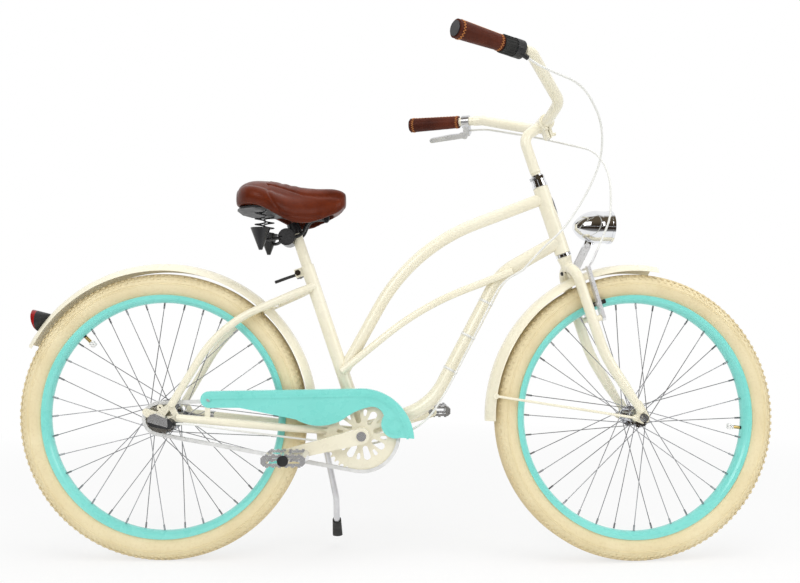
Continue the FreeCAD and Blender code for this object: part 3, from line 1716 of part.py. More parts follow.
def shift_box():
    """Gear selector box over the right end of the rear axle."""
    nut_face = dropout_spread + dropout_thickness + axle_washer_thickness
    box_end = V(click_box_length, 0, -click_box_drop)
    box = link_plate(ORIGIN, click_box_radius, box_end, click_box_back_radius, click_box_depth)
    box.translate(Y_AXIS * -(nut_face + click_box_depth))
    room = cylinder(V(0, -nut_face - axle_nut_height - axle_stub, 0), Y_AXIS,
                    axle_washer_radius + seat_clearance,
                    axle_nut_height * 2 + axle_stub)
    box = box.cut(room)
    port_start = box_end + V(0, -nut_face - click_box_depth / 2, 0)
    port = cylinder(port_start, V(1, 0, 0), cable_port_radius, click_box_back_radius + cable_port_radius)
    box = fused(box, port)
    box.translate(rear_axle)
    return box


# Chain and sprockets


def drive_frame():
    """Unit vectors from crank to rear axle and square to that, upward."""
    rear = (rear_axle - crank_centre).normalize()
    up = rear.cross(Y_AXIS)
    if up.z < 0:
        up = up * -1
    return rear, up


def chain_pins():
    """Centres of all the chain's pins, walked round by whole links."""
    rear, up = drive_frame()
    lean = math.asin((ring_pitch_radius - sprocket_pitch_radius) / drive_distance)
    run = math.sqrt(drive_distance ** 2 - (ring_pitch_radius - sprocket_pitch_radius) ** 2)
    run_links = run / chain_pitch
    sprocket_links = (math.pi - 2 * lean) * sprocket_teeth / (2 * math.pi)

    def around(centre, radius, angle):
        return centre + (up * math.cos(angle) + rear * math.sin(angle)) * radius

    top_front = around(crank_centre, ring_pitch_radius, lean)
    top_rear = around(rear_axle, sprocket_pitch_radius, lean)
    low_rear = around(rear_axle, sprocket_pitch_radius, math.pi - lean)
    low_front = around(crank_centre, ring_pitch_radius, math.pi - lean)
    pins = []
    for index in range(link_count):
        step = float(index)
        if step < run_links:
            pins.append(top_front + (top_rear - top_front) * (step / run_links))
            continue
        step -= run_links
        if step < sprocket_links:
            pins.append(
                around(rear_axle, sprocket_pitch_radius, lean + 2 * math.pi * step / sprocket_teeth)
            )
            continue
        step -= sprocket_links
        if step < run_links:
            pins.append(low_rear + (low_front - low_rear) * (step / run_links))
            continue
        step -= run_links
        pins.append(
            around(crank_centre, ring_pitch_radius, math.pi - lean + 2 * math.pi * step / ring_teeth)
        )
    return pins


def chain():
    """Roller chain: outer links carry the pins, inner links carry the bored rollers."""
    half_height = link_plate_height / 2
    inner_face = link_inner_width / 2
    outer_face = inner_face + link_plate_thickness + link_plate_gap
    ends = [V(-chain_pitch / 2, 0, 0), V(chain_pitch / 2, 0, 0)]
    inner_plate = link_plate(ends[0], half_height, ends[1], half_height, link_plate_thickness)
    inner_plate.translate(Y_AXIS * inner_face)
    outer_plate = link_plate(ends[0], half_height, ends[1], half_height, link_plate_thickness)
    outer_plate.translate(Y_AXIS * outer_face)
    pin_half = outer_face + link_plate_thickness + link_pin_proud
    inner = fused(inner_plate, mirrored(inner_plate))
    outer = fused(outer_plate, mirrored(outer_plate))
    for end in ends:
        inner = inner.fuse(cylinder(end - Y_AXIS * inner_face, Y_AXIS, roller_radius, link_inner_width))
        outer = outer.fuse(cylinder(end - Y_AXIS * pin_half, Y_AXIS, link_pin_radius, 2 * pin_half))
    for end in ends:
        inner = inner.cut(
            cylinder(end - Y_AXIS * pin_half, Y_AXIS, link_pin_radius + pin_clearance, 2 * pin_half)
        )
    pins = chain_pins()
    links = []
    for index, here in enumerate(pins):
        there = pins[(index + 1) % link_count]
        middle = (here + there) / 2 - Y_AXIS * chain_line
        link = (inner if index % 2 == 0 else outer).copy()
        link.Placement = Placement(middle, Rotation(X_AXIS, there - here))
        links.append(link.Solids[0])
    return Part.makeCompound(links)


def toothed_disc(teeth, thickness, first_deg):
    """Sprocket blank centred on the origin, with round roller seats; one seat lies at first_deg."""
    radius = pitch_radius(teeth)
    seat = roller_radius + roller_seat_clearance
    tip = radius + tooth_tip_height
    bite = math.radians(seat_half_angle_deg)
    step = 2 * math.pi / teeth
    edges = []
    starts = []
    ends = []
    middles = []
    for k in range(teeth):
        angle = math.radians(first_deg) + k * step
        out = V(math.cos(angle), 0, math.sin(angle))
        side = V(-math.sin(angle), 0, math.cos(angle))
        centre = out * radius
        starts.append(centre - out * seat * math.cos(bite) - side * seat * math.sin(bite))
        ends.append(centre - out * seat * math.cos(bite) + side * seat * math.sin(bite))
        middles.append(centre - out * seat)
    for k in range(teeth):
        after = (k + 1) % teeth
        tip_angle = math.radians(first_deg) + (k + 0.5) * step
        tip_half = tooth_tip_half_share * step
        lead = V(tip * math.cos(tip_angle - tip_half), 0, tip * math.sin(tip_angle - tip_half))
        trail = V(tip * math.cos(tip_angle + tip_half), 0, tip * math.sin(tip_angle + tip_half))
        edges.append(Part.Arc(starts[k], middles[k], ends[k]).toShape())
        edges.append(Part.LineSegment(ends[k], lead).toShape())
        edges.append(Part.LineSegment(lead, trail).toShape())
        edges.append(Part.LineSegment(trail, starts[after]).toShape())
    disc = Part.Face(Part.Wire(edges)).extrude(Y_AXIS * thickness)
    disc.translate(Y_AXIS * (-chain_line - thickness / 2))
    return disc


def seat_angle(pin, centre):
    return math.degrees(math.atan2(pin.z - centre.z, pin.x - centre.x))


def pin_on(centre, radius):
    """A chain pin that lies on the given pitch circle."""
    return min(chain_pins(), key=lambda pin: abs((pin - centre).Length - radius))


def chainring():
    """Toothed ring with a rosette of long and short slots, on the right crank's boss."""
    disc = toothed_disc(
        ring_teeth, ring_thickness, seat_angle(pin_on(crank_centre, ring_pitch_radius), crank_centre)
    )
    start_y = -chain_line - ring_thickness
    cuts = [cylinder(V(0, start_y, 0), Y_AXIS, ring_boss_radius, ring_thickness * 2)]
    for k in range(ring_pattern):
        turn = 360.0 * k / ring_pattern + crank_dip_deg
        half = turn + 180.0 / ring_pattern
        cuts.append(link_plate(polar(slot_start, turn, start_y), slot_inner_radius,
                               polar(slot_end, turn, start_y), slot_outer_radius, ring_thickness * 2))
        cuts.append(link_plate(polar(oval_start, half, start_y), oval_inner_radius,
                               polar(oval_end, half, start_y), oval_outer_radius, ring_thickness * 2))
    ring = disc.cut(Part.makeCompound(cuts))
    ring.translate(crank_centre)
    return ring


def rear_sprocket():
    disc = toothed_disc(sprocket_teeth, sprocket_thickness,
                        seat_angle(pin_on(rear_axle, sprocket_pitch_radius), rear_axle))
    boss = cylinder(
        V(0, -chain_line - sprocket_boss_width / 2, 0), Y_AXIS, sprocket_boss_radius, sprocket_boss_width
    )
    bore = cylinder(
        V(0, -chain_line * 2, 0), Y_AXIS, sprocket_seat_radius + running_clearance, chain_line * 2
    )
    shape = fused(disc, boss).cut(bore)
    shape.translate(rear_axle)
    return shape


# Cranks and pedals

right_pedal_offset = polar(crank_length, 180 + crank_dip_deg)
left_pedal_offset = polar(crank_length, crank_dip_deg)
pedal_inner = arm_inner + arm_thickness + pedal_gap


def crank_spindle():
    """Bottom bracket spindle, both dust caps and both pedal spindles."""
    half = arm_inner + arm_thickness - crank_cap_height
    shapes = [cylinder(V(0, -half, 0), Y_AXIS, spindle_radius, 2 * half)]
    cap = cylinder(V(0, half, 0), Y_AXIS, crank_cap_radius, crank_cap_height * 2)
    shapes += both_sides(cap)
    length = pedal_width + pedal_gap + arm_thickness - pedal_cap_height
    left = cylinder(left_pedal_offset + Y_AXIS * arm_inner, Y_AXIS, pedal_spindle_radius, length)
    right = cylinder(right_pedal_offset - Y_AXIS * arm_inner, -Y_AXIS, pedal_spindle_radius, length)
    shapes += [left, right]
    for shape in shapes:
        shape.translate(crank_centre)
    return Part.makeCompound(shapes)


def crank_arm(offset, side):
    """Tapered crank arm with spindle boss and pedal eye."""
    arm = link_plate(ORIGIN, arm_boss_radius, offset, arm_tip_radius, arm_thickness)
    arm.translate(Y_AXIS * (arm_inner if side > 0 else -arm_inner - arm_thickness))
    boss_inner = shell_width / 2 + cup_flange_width * 2
    boss = cylinder(V(0, side * boss_inner, 0), Y_AXIS * side, ring_boss_radius, arm_inner - boss_inner)
    half = arm_inner + arm_thickness
    hole = cylinder(V(0, -half * 2, 0), Y_AXIS, spindle_radius, half * 4)
    cap_room = cylinder(
        V(0, side * (half - crank_cap_height), 0), Y_AXIS * side, crank_cap_radius, crank_cap_height * 2
    )
    eye = cylinder(offset - Y_AXIS * half * 2, Y_AXIS, pedal_spindle_radius, half * 4)
    shape = fused(arm, boss).cut(hole).cut(cap_room).cut(eye)
    shape.translate(crank_centre)
    return shape


def pedal(offset, side):
    """Cage pedal with toothed rails, bored barrel and end cap."""
    half_x = pedal_length / 2
    half_z = pedal_height / 2
    outline = [
        V(-half_x, 0, half_z - pedal_chamfer),
        V(-half_x + pedal_chamfer, 0, half_z),
        V(half_x - pedal_chamfer, 0, half_z),
        V(half_x, 0, half_z - pedal_chamfer),
        V(half_x, 0, -half_z + pedal_chamfer),
        V(half_x - pedal_chamfer, 0, -half_z),
        V(-half_x + pedal_chamfer, 0, -half_z),
        V(-half_x, 0, -half_z + pedal_chamfer),
    ]
    cage = prism(outline, Y_AXIS * pedal_width)
    well_y = pedal_width - 2 * pedal_rail
    barrel = cylinder(ORIGIN, Y_AXIS, pedal_barrel_radius, pedal_width)
    for x in (-1, 1):
        well_x = half_x - pedal_rail - pedal_barrel_radius / 2
        middle = x * (pedal_barrel_radius / 2 + well_x / 2)
        well = block(V(middle, pedal_width / 2, 0), well_x, well_y, pedal_height * 2)
        window = block(
            V(middle, pedal_width / 2, 0), well_x - pedal_rail, pedal_width * 2, pedal_window_height
        )
        cage = cage.cut(well).cut(window)
    cage = cage.fuse(barrel)
    for z in (-1, 1):
        for k in range(pedal_tooth_count):
            share = (k + 0.5) / pedal_tooth_count - 0.5
            for y in (pedal_rail / 2, pedal_width - pedal_rail / 2):
                at = V(
                    share * (pedal_length - 2 * pedal_chamfer), y, z * (half_z + pedal_tooth_height / 2)
                )
                cage = cage.fuse(block(at, pedal_tooth_width, pedal_rail, pedal_tooth_height))
    bore = cylinder(V(0, -overrun, 0), Y_AXIS, pedal_spindle_radius + running_clearance,
                    pedal_width + overrun - pedal_cap_height + seat_clearance)
    cap = cylinder(V(0, pedal_width, 0), Y_AXIS, pedal_cap_radius, pedal_cap_height)
    cage = cage.removeSplitter().cut(bore)
    shapes = []
    for piece in (largest(cage), cap):
        piece.translate(Y_AXIS * pedal_inner)
        piece = piece if side > 0 else mirrored(piece)
        piece.translate(crank_centre + offset)
        shapes.append(piece)
    return Part.makeCompound(shapes)


# Chain guard


def guard_point(shares, y=0.0):
    return V(crank_centre.x + shares[0] * guard_length, y, crank_centre.z + shares[1] * guard_height)


def guard_edges(steps, y):
    """Outline from shares: two entries make an arc (through, to), one entry a straight line."""
    here = guard_point(steps[0][0], y)
    edges = []
    for step in steps[1:]:
        if len(step) == 2:
            edges.append(Part.Arc(here, guard_point(step[0], y), guard_point(step[1], y)).toShape())
        else:
            edges.append(Part.LineSegment(here, guard_point(step[0], y)).toShape())
        here = guard_point(step[-1], y)
    return edges


def guard_band(inset, width, y, along):
    """Strip that follows the guard's straight top and front curve, inset from the edge."""
    start = guard_point(guard_outline_shares[1][1])
    corner = guard_point(guard_outline_shares[2][0])
    through = guard_point(guard_outline_shares[3][0])
    end = guard_point(guard_outline_shares[3][1])
    centre = Part.Arc(corner, through, end).toShape().Curve.Center
    slope = (corner - start).normalize()
    down = V(slope.z, 0, -slope.x)
    if down.z > 0:
        down = down * -1

    def at(point, depth):
        return point + (centre - point).normalize() * depth

    def lift(point):
        return V(point.x, y, point.z)

    near, far = inset, inset + width
    edges = [
        Part.LineSegment(lift(start + down * near), lift(at(corner, near))).toShape(),
        Part.Arc(lift(at(corner, near)), lift(at(through, near)), lift(at(end, near))).toShape(),
        Part.LineSegment(lift(at(end, near)), lift(at(end, far))).toShape(),
        Part.Arc(lift(at(end, far)), lift(at(through, far)), lift(at(corner, far))).toShape(),
        Part.LineSegment(lift(at(corner, far)), lift(start + down * far)).toShape(),
        Part.LineSegment(lift(start + down * far), lift(start + down * near)).toShape(),
    ]
    return Part.Face(Part.Wire(edges)).extrude(Y_AXIS * along)


guard_rear = guard_point(guard_rear_shares)
guard_rear_height = guard_rear.z


def chain_guard():
    """Pressed guard plate with a turned-in top flange, a bead, a round boss and its seat tube bracket."""
    face = Part.Face(Part.Wire(guard_edges(guard_outline_shares, -guard_plane - guard_thickness)))
    plate = face.extrude(Y_AXIS * guard_thickness)
    flange = guard_band(0, guard_thickness, -guard_plane, guard_flange)
    bead = guard_band(guard_rib_drop, guard_rib_width, -guard_plane - guard_thickness, -guard_rib_height)
    disc = guard_point(guard_disc_shares, -guard_plane - guard_thickness)
    boss = cylinder(disc, -Y_AXIS, guard_disc_radius, guard_rib_height)
    boss = boss.cut(cylinder(disc, -Y_AXIS, guard_disc_radius - guard_disc_width, guard_rib_height))
    screw = cylinder(V(guard_rear.x, -guard_plane - guard_thickness, guard_rear.z), -Y_AXIS,
                     guard_screw_radius,
                     guard_screw_height)
    strap_z = crank_centre.z + guard_bracket_height
    strap_x = seat_point(guard_bracket_height / math.cos(math.radians(seat_lean_deg))).x
    strap = Part.makeBox(guard_bracket_width, guard_plane, guard_tab_thickness,
                         V(strap_x - guard_bracket_width / 2, -guard_plane, strap_z))
    strap = largest(strap.cut(seat_tube_solid()))
    return fused(plate, flange, bead, boss, screw, strap)


# Fenders


def fender_shell(start_deg, end_deg, grow=0.0):
    """Arched strip round the wheel, centred on the origin."""
    outer = Part.Arc(V(fender_edge, -fender_half_width, 0), V(fender_crest + grow, 0, 0),
                     V(fender_edge, fender_half_width, 0))
    inner = Part.Arc(V(fender_edge, fender_half_width - fender_thickness, 0),
                     V(fender_crest - fender_thickness, 0, 0),
                     V(fender_edge, -fender_half_width + fender_thickness, 0))
    edges = [
        outer.toShape(),
        Part.LineSegment(V(fender_edge, fender_half_width, 0),
                         V(fender_edge, fender_half_width - fender_thickness, 0)).toShape(),
        inner.toShape(),
        Part.LineSegment(V(fender_edge, -fender_half_width + fender_thickness, 0),
                         V(fender_edge, -fender_half_width, 0)).toShape(),
    ]
    face = Part.Face(Part.Wire(edges))
    face.rotate(ORIGIN, -Y_AXIS, start_deg)
    return face.revolve(ORIGIN, -Y_AXIS, end_deg - start_deg)


def fender_core():
    """Everything inside the fender's outer surface, centred on the axle."""
    edges = [
        Part.Arc(V(fender_edge, -fender_half_width, 0), V(fender_crest, 0, 0),
                 V(fender_edge, fender_half_width, 0)).toShape(),
        Part.LineSegment(
            V(fender_edge, fender_half_width, 0), V(fender_edge / 2, fender_half_width, 0)
        ).toShape(),
        Part.LineSegment(V(fender_edge / 2, fender_half_width, 0),
                         V(fender_edge / 2, -fender_half_width, 0)).toShape(),
        Part.LineSegment(
            V(fender_edge / 2, -fender_half_width, 0), V(fender_edge, -fender_half_width, 0)
        ).toShape(),
    ]
    return Part.Face(Part.Wire(edges)).revolve(ORIGIN, Y_AXIS, 360)


def fender_stay(root, stay_deg):
    """Wire stay from an eyelet to the fender's edge, with a flat pad and screw at the eyelet."""
    pad = cylinder(root, Y_AXIS, fender_stay_pad_radius, fender_stay_pad_thickness)
    screw = cylinder(root, Y_AXIS, fender_stay_radius, fender_stay_pad_thickness * 2)
    end = polar(fender_edge + fender_stay_radius, stay_deg, fender_half_width + fender_stay_radius / 2)
    start = root + Y_AXIS * fender_stay_radius
    wire = rod([start, end], [], fender_stay_radius)
    inset = Y_AXIS * fender_stay_radius * fender_pad_share
    foot = cylinder(end - inset, Y_AXIS, fender_stay_pad_radius, fender_stay_radius * 2)
    cover = cylinder(root - Y_AXIS * overrun, Y_AXIS, fender_stay_pad_radius * 4, overrun)
    return fused(pad, screw, wire, foot).cut(cover)


def rear_fender():
    shell = fender_shell(rear_fender_start_deg, rear_fender_end_deg)
    root = V(-dropout_lug_back, dropout_spread + dropout_thickness, dropout_lug_rise)
    stay = fender_stay(root, rear_stay_deg)
    bridge = bridge_point() - rear_axle
    out = V(bridge.x, 0, bridge.z)
    reach = out.Length
    post = cylinder(V(out).normalize() * (fender_crest - fender_thickness / 2), out, fender_stay_pad_radius,
                    reach - fender_crest)
    shape = fused(shell, stay, mirrored(stay), post)
    shape.translate(rear_axle)
    return largest(shape.cut(bridge_rod()))


def front_fender():
    shell = fender_shell(front_fender_start_deg - head_lean_deg, front_fender_end_deg - head_lean_deg)
    root = V(-fork_eyelet_reach, front_hub_width / 2 + fork_tip_thickness, fork_eyelet_rise)
    stay = fender_stay(root, front_stay_deg - head_lean_deg)
    crown = -front_hub
    top = V(crown.x, 0, crown.z - crown_drop - blade_radius)
    out = V(top).normalize()
    tab = cylinder(out * (fender_crest - fender_thickness / 2), out, fender_stay_pad_radius,
                   top.Length - fender_crest + fender_thickness)
    shape = fused(shell, stay, mirrored(stay), tab)
    shape.translate(front_hub)
    crown_block = cylinder(
        V(0, 0, -crown_drop - blade_radius), Z_AXIS, steerer_radius + tube_wall, crown_drop
    )
    shape = shape.cut(crown_block).cut(blade_shoulders())
    return steered(largest(shape))


def blade_shoulders():
    shoulder = rod([V(0, 0, -crown_drop), V(0, blade_spread, -crown_shoulder_drop),
                    V(0, blade_spread, -blade_curve_start)], [crown_bend], blade_radius)
    return Part.makeCompound(both_sides(shoulder))


def tail_light():
    """Cone-shaped lamp body and its lens, seated on the rear fender."""
    half = tail_light_length / 2
    centre = polar(fender_crest + tail_light_rise, tail_light_deg)
    back = V(
        -math.cos(math.radians(tail_light_tilt_deg)), 0, -math.sin(math.radians(tail_light_tilt_deg))
    )
    body = Part.makeCone(
        tail_light_nose_radius, tail_light_radius, tail_light_length, centre - back * half, back
    )
    lens = cylinder(centre + back * half, back, tail_lens_radius, tail_lens_thickness)
    shapes = []
    for piece in (body, lens):
        piece = largest(piece.cut(fender_core()))
        piece.translate(rear_axle)
        shapes.append(piece)
    return Part.makeCompound(shapes)


# Kickstand

stand_pivot = V(crank_centre.x - stand_plate_reach - stand_pivot_back, stand_pivot_spread,
                stand_plate_z - stand_pivot_drop)
stand_knee = stand_pivot + V(stand_knee_forward, stand_knee_out, -stand_knee_drop)
stand_ankle = stand_pivot + V(stand_ankle_forward, stand_ankle_out, -stand_ankle_drop)
stand_toe = V(stand_pivot.x + stand_foot_forward, stand_pivot.y + stand_foot_out, stand_foot_height)
stand_axis = Y_AXIS


def stand_bracket():
    """Block under the kickstand plate with the bored boss that the leg turns in."""
    body = Part.makeBox(stand_plate_length, stand_body_width, stand_body_height,
                        V(crank_centre.x - stand_plate_reach - stand_plate_length / 2, -stand_body_width / 2,
                          stand_plate_z - stand_plate_thickness / 2 - stand_body_height))
    boss = cylinder(stand_pivot - stand_axis * (seat_clearance + stand_hub_length), stand_axis,
                    stand_hub_radius,
                    stand_hub_length)
    hole = cylinder(stand_pivot - stand_axis * (stand_pin_length + seat_clearance), stand_axis,
                    stand_pin_radius + running_clearance, stand_pin_length * 2)
    return fused(body, boss).cut(hole)


def stand_leg_points():
    return [stand_pivot + stand_axis * stand_hub_length / 2, stand_knee, stand_ankle, stand_toe]


def kickstand_leg():
    points = stand_leg_points()
    down = (points[3] - points[2]).normalize()
    points[3] = points[3] - down * stand_foot_radius
    leg = rod(points, [stand_knee_bend, stand_ankle_bend], stand_leg_radius)
    hub = cylinder(stand_pivot, stand_axis, stand_hub_radius, stand_hub_length)
    pin = cylinder(
        stand_pivot - stand_axis * stand_pin_length, stand_axis, stand_pin_radius, stand_pin_length
    )
    return fused(leg, hub, pin)


def kickstand_foot():
    """Rubber foot, cut level with the ground, which it meets when the bicycle leans on it."""
    points = stand_leg_points()
    down = (points[3] - points[2]).normalize()
    start = points[3] - down * stand_foot_length
    cone = Part.makeCone(
        stand_foot_radius, stand_foot_radius + stand_foot_flare, stand_foot_length + overrun, start, down
    )
    ground = Part.makeBox(overrun * 4, overrun * 4, overrun * 2,
                          stand_toe - V(overrun * 2, overrun * 2, overrun * 2))
    bore = rod([stand_ankle, points[3] - down * stand_foot_radius], [], stand_leg_radius)
    return cone.cut(ground).cut(bore)


# Seat post, binder and saddle


def seat_post():
    start = seat_tube_length - post_buried
    post = cylinder(V(0, 0, start), Z_AXIS, post_radius, post_buried + post_exposed)
    neck = cylinder(
        V(0, 0, start + post_buried + post_exposed), Z_AXIS, post_neck_radius, post_neck_length
    )
    bore = cylinder(V(0, 0, start - overrun), Z_AXIS, post_neck_radius - post_wall,
                    post_buried + post_exposed + overrun)
    return on_seat_tube(fused(post, neck).cut(bore))


def seat_binder_bolt():
    """Binder bolt with a hexagonal nut on the right and the lever's yoke on the left."""
    ear = binder_slit / 2 + binder_ear_thickness
    reach = ear + binder_nut_height
    shank = cylinder(
        V(binder_place, -reach, binder_height), Y_AXIS, binder_bolt_radius, reach * 2 + lever_cam_radius
    )
    nut = hexagon(V(binder_place, -ear, binder_height), -Y_AXIS, binder_nut_flats, binder_nut_height)
    yoke = cylinder(
        V(binder_place, ear, binder_height), Y_AXIS, binder_nut_flats / 2, binder_nut_height - lever_gap
    )
    pin_y = ear + binder_nut_height + lever_cam_radius
    pin = cylinder(V(binder_place, pin_y, binder_height - lever_cam_height), Z_AXIS, binder_bolt_radius,
                   lever_cam_height * 2)
    return on_seat_tube(fused(shank, nut, yoke, pin))


def lever_pin_point():
    ear = binder_slit / 2 + binder_ear_thickness
    return V(binder_place, ear + binder_nut_height + lever_cam_radius, binder_height)


def seat_binder_lever():
    """Quick lever: a cam on the bolt's cross pin and a handle that points back."""
    at = lever_pin_point()
    cam = cylinder(at - Z_AXIS * lever_cam_height * lever_cam_share, Z_AXIS, lever_cam_radius,
                   lever_cam_height * 2 * lever_cam_share)
    tip = at + V(-lever_length, lever_tip_out, 0)
    handle = rod([at + V(-lever_cam_radius / 2, 0, 0), at + V(-lever_length / 2, 0, 0), tip], [lever_length],
                 lever_thickness / 2, lever_tip_radius / 2)
    hole = cylinder(at - Z_AXIS * lever_cam_height * 2, Z_AXIS, binder_bolt_radius + running_clearance,
                    lever_cam_height * 4)
    lever = fused(cam, handle).cut(hole)
    half_slot = binder_bolt_radius + lever_gap
    for step in range(lever_slot_steps + 1):
        slot = Part.makeBox(half_slot * 2, lever_cam_radius * lever_slot_place_share, half_slot * 2,
                            V(-half_slot, -lever_cam_radius * lever_slot_place_share, -half_slot))
        slot.Placement = Placement(at, Rotation(Z_AXIS, lever_turn_deg * step / lever_slot_steps))
        lever = lever.cut(slot.copy())
    return on_seat_tube(largest(lever))


saddle_clamp = seat_point(seat_tube_length + post_exposed - saddle_clamp_drop) - X_AXIS * saddle_clamp_back
saddle_rear_x = saddle_clamp.x - saddle_rear_reach
saddle_base_z = saddle_clamp.z + saddle_base_rise
spring_x = saddle_rear_x + spring_back
cone_top_z = saddle_clamp.z + cone_top_rise
pan_bottom = saddle_base_z + saddle_pan_rise
nose_x = saddle_rear_x + saddle_length
saddle_pivot = V(nose_x - rail_nose_inset, 0, saddle_clamp.z + rail_nose_rise)


def rail_points():
    return [
        V(spring_x - cone_top_radius / 3, spring_spread, cone_top_z - cone_height / 2),
        V(spring_x + cone_top_radius, spring_spread - rail_bend / 2, cone_top_z - cone_height / 2),
        V(saddle_clamp.x - saddle_clamp_radius / 2, rail_half_gap, saddle_clamp.z),
        V(saddle_clamp.x + saddle_clamp_radius * rail_clamp_share, rail_half_gap, saddle_clamp.z),
        V(saddle_rear_x + saddle_length * rail_nose_share, rail_half_gap / 2, saddle_pivot.z),
        saddle_pivot + Y_AXIS * rail_half_gap / 2,
    ]


def saddle_undercarriage():
    """Clamp on the post, two rails with a cross pin at the nose, and the cone cups under the springs."""
    bends = [rail_bend] * 4
    rail = rod(rail_points(), bends, rail_radius)
    cup = Part.makeCone(cone_tip_radius, cone_top_radius, cone_height,
                        V(spring_x, spring_spread, cone_top_z - cone_height), Z_AXIS)
    barrel = cylinder(
        saddle_clamp - Y_AXIS * saddle_clamp_half, Y_AXIS, saddle_clamp_radius, saddle_clamp_half * 2
    )
    collar = on_seat_tube(cylinder(V(0, 0, seat_tube_length + post_exposed + seat_clearance), Z_AXIS,
                                   post_neck_radius + post_wall * 2, post_neck_length))
    neck = on_seat_tube(cylinder(V(0, 0, 0), Z_AXIS, post_neck_radius, seat_tube_length * 2))
    post = on_seat_tube(
        cylinder(V(0, 0, 0), Z_AXIS, post_radius + running_clearance, seat_tube_length + post_exposed)
    )
    pin_half = rail_half_gap / 2 + rail_radius + nose_pin_proud
    pin = cylinder(saddle_pivot - Y_AXIS * pin_half, Y_AXIS, nose_pin_radius, pin_half * 2)
    body = fused(barrel, collar, cup, mirrored(cup), rail, mirrored(rail), pin).cut(neck).cut(post)
    return Part.makeCompound(body.Solids)


def spring_path(height):
    """Helix as biarcs of a quarter turn, from the cone up to the pan."""
    steps = spring_turns * 4
    radius = spring_radius
    wire_radius = spring_wire / 2
    rise = (height - spring_wire) / steps
    angle = math.pi / 2

    def at(k):
        return V(radius * math.cos(k * angle), radius * math.sin(k * angle), wire_radius + rise * k)

    def heading(k):
        direction = V(-math.sin(k * angle) * radius * angle, math.cos(k * angle) * radius * angle, rise)
        return direction.normalize()

    edges = []
    for k in range(steps):
        p0, p1 = at(k), at(k + 1)
        t0, t1 = heading(k), heading(k + 1)
        span = p1 - p0
        total = t0 + t1
        a = 2 * (1 - t0.dot(t1))
        b = span.dot(total)
        reach = (-b + math.sqrt(b * b + a * span.dot(span))) / a
        joint = (p0 + p1 + (t0 - t1) * reach) / 2
        edges.append(tangent_arc(p0, t0, joint))
        edges.append(tangent_arc(p1, t1 * -1, joint))
    return edges


def tangent_arc(start, direction, end):
    """Arc from start along direction that ends at end."""
    span = end - start
    side = (direction.cross(span)).cross(direction).normalize()
    radius = span.dot(span) / (2 * span.dot(side))
    centre = start + side * radius
    middle = centre + (start + span / 2 - centre).normalize() * radius
    return Part.Arc(start, middle, end).toShape()


def saddle_springs():
    """Two coil springs between the cone cups and the saddle pan."""
    height = pan_bottom - cone_top_z
    edges = spring_path(height)
    path = Part.Wire(Part.__sortEdges__(edges))
    start = path.Edges[0].valueAt(path.Edges[0].FirstParameter)
    heading = path.Edges[0].tangentAt(path.Edges[0].FirstParameter)
    coil = path.makePipeShell([circle_wire(start, heading, spring_wire / 2)], True, False)
    rise = (height - spring_wire) / spring_turns
    slope = math.atan(rise / (2 * math.pi * spring_radius))
    print("spring: least gap between coils", round(rise * math.cos(slope)
                                                   - spring_wire, 2))
    trim = Part.makeBox(
        spring_radius * 4, spring_radius * 4, height, V(-spring_radius * 2, -spring_radius * 2, 0)
    )
    coil = coil.common(trim)
    coil.translate(V(spring_x, spring_spread, cone_top_z))
    return Part.makeCompound(both_sides(largest(coil)))


def saddle_section(x_share, width_share, top_share, shoulder_share, low_share):
    """Closed cross section of the cushion at one place along its length."""
    x = saddle_rear_x + saddle_length * x_share
    half = saddle_width / 2 * width_share
    top = saddle_base_z + saddle_height * top_share
    shoulder = saddle_base_z + saddle_height * shoulder_share
    low = saddle_base_z + saddle_height * low_share
    waist = (shoulder + low) / 2
    points = [
        V(x, -half * saddle_hem_share, low),
        V(x, -half, waist),
        V(x, -half * saddle_shoulder_place_share, shoulder),
        V(x, 0, top),
        V(x, half * saddle_shoulder_place_share, shoulder),
        V(x, half, waist),
        V(x, half * saddle_hem_share, low),
    ]
    edges = [
        Part.Arc(points[0], points[1], points[2]).toShape(),
        Part.Arc(points[2], points[3], points[4]).toShape(),
        Part.Arc(points[4], points[5], points[6]).toShape(),
        Part.LineSegment(points[6], points[0]).toShape(),
    ]
    return Part.Wire(edges)


def saddle_plan(inset):
    """Plan outline that follows the cushion's stations, drawn in by inset."""
    left = []
    right = []
    for x_share, width_share, _, _, _ in saddle_station_shares:
        x = saddle_rear_x + saddle_length * x_share
        half = saddle_width / 2 * width_share * saddle_hem_share - inset
        if half > inset:
            left.append(V(x, half, 0))
            right.append(V(x, -half, 0))
    return left + list(reversed(right))


def saddle_cover():
    """Sprung cushion: wide tail, drawn-in flanks and a narrow nose, hollow underneath for the pan."""
    cushion = Part.makeLoft([saddle_section(*station) for station in saddle_station_shares], True, False)
    well = prism([p + Z_AXIS * (pan_bottom - saddle_height) for p in saddle_plan(saddle_recess_inset)],
                 Z_AXIS * (saddle_height + saddle_pan_thickness))
    return largest(cushion.cut(well))


def saddle_base():
    """Stiff pan inside the cushion, on the springs behind and on a lug over the cross pin at the nose."""
    outline = [p + Z_AXIS * pan_bottom for p in saddle_plan(saddle_recess_inset + seat_clearance)]
    pan = prism(outline, Z_AXIS * saddle_pan_thickness)
    side = saddle_pivot - Y_AXIS * nose_lug_width / 2
    eye = cylinder(side, Y_AXIS, nose_lug_radius, nose_lug_width)
    web_height = pan_bottom + saddle_pan_thickness / 2 - saddle_pivot.z
    web = Part.makeBox(nose_lug_radius * 2, nose_lug_width, web_height, side - X_AXIS * nose_lug_radius)
    bore = cylinder(
        side - Y_AXIS * overrun, Y_AXIS, nose_pin_radius + running_clearance, overrun * 2 + nose_lug_width
    )
    return fused(pan, eye, web).cut(bore)


# Cables


def right_bar_point(point):
    at = left_bar_place.multVec(point)
    return steer_place.multVec(V(at.x, -at.y, at.z))


def left_bar_point(point):
    return steer_place.multVec(left_bar_place.multVec(point))


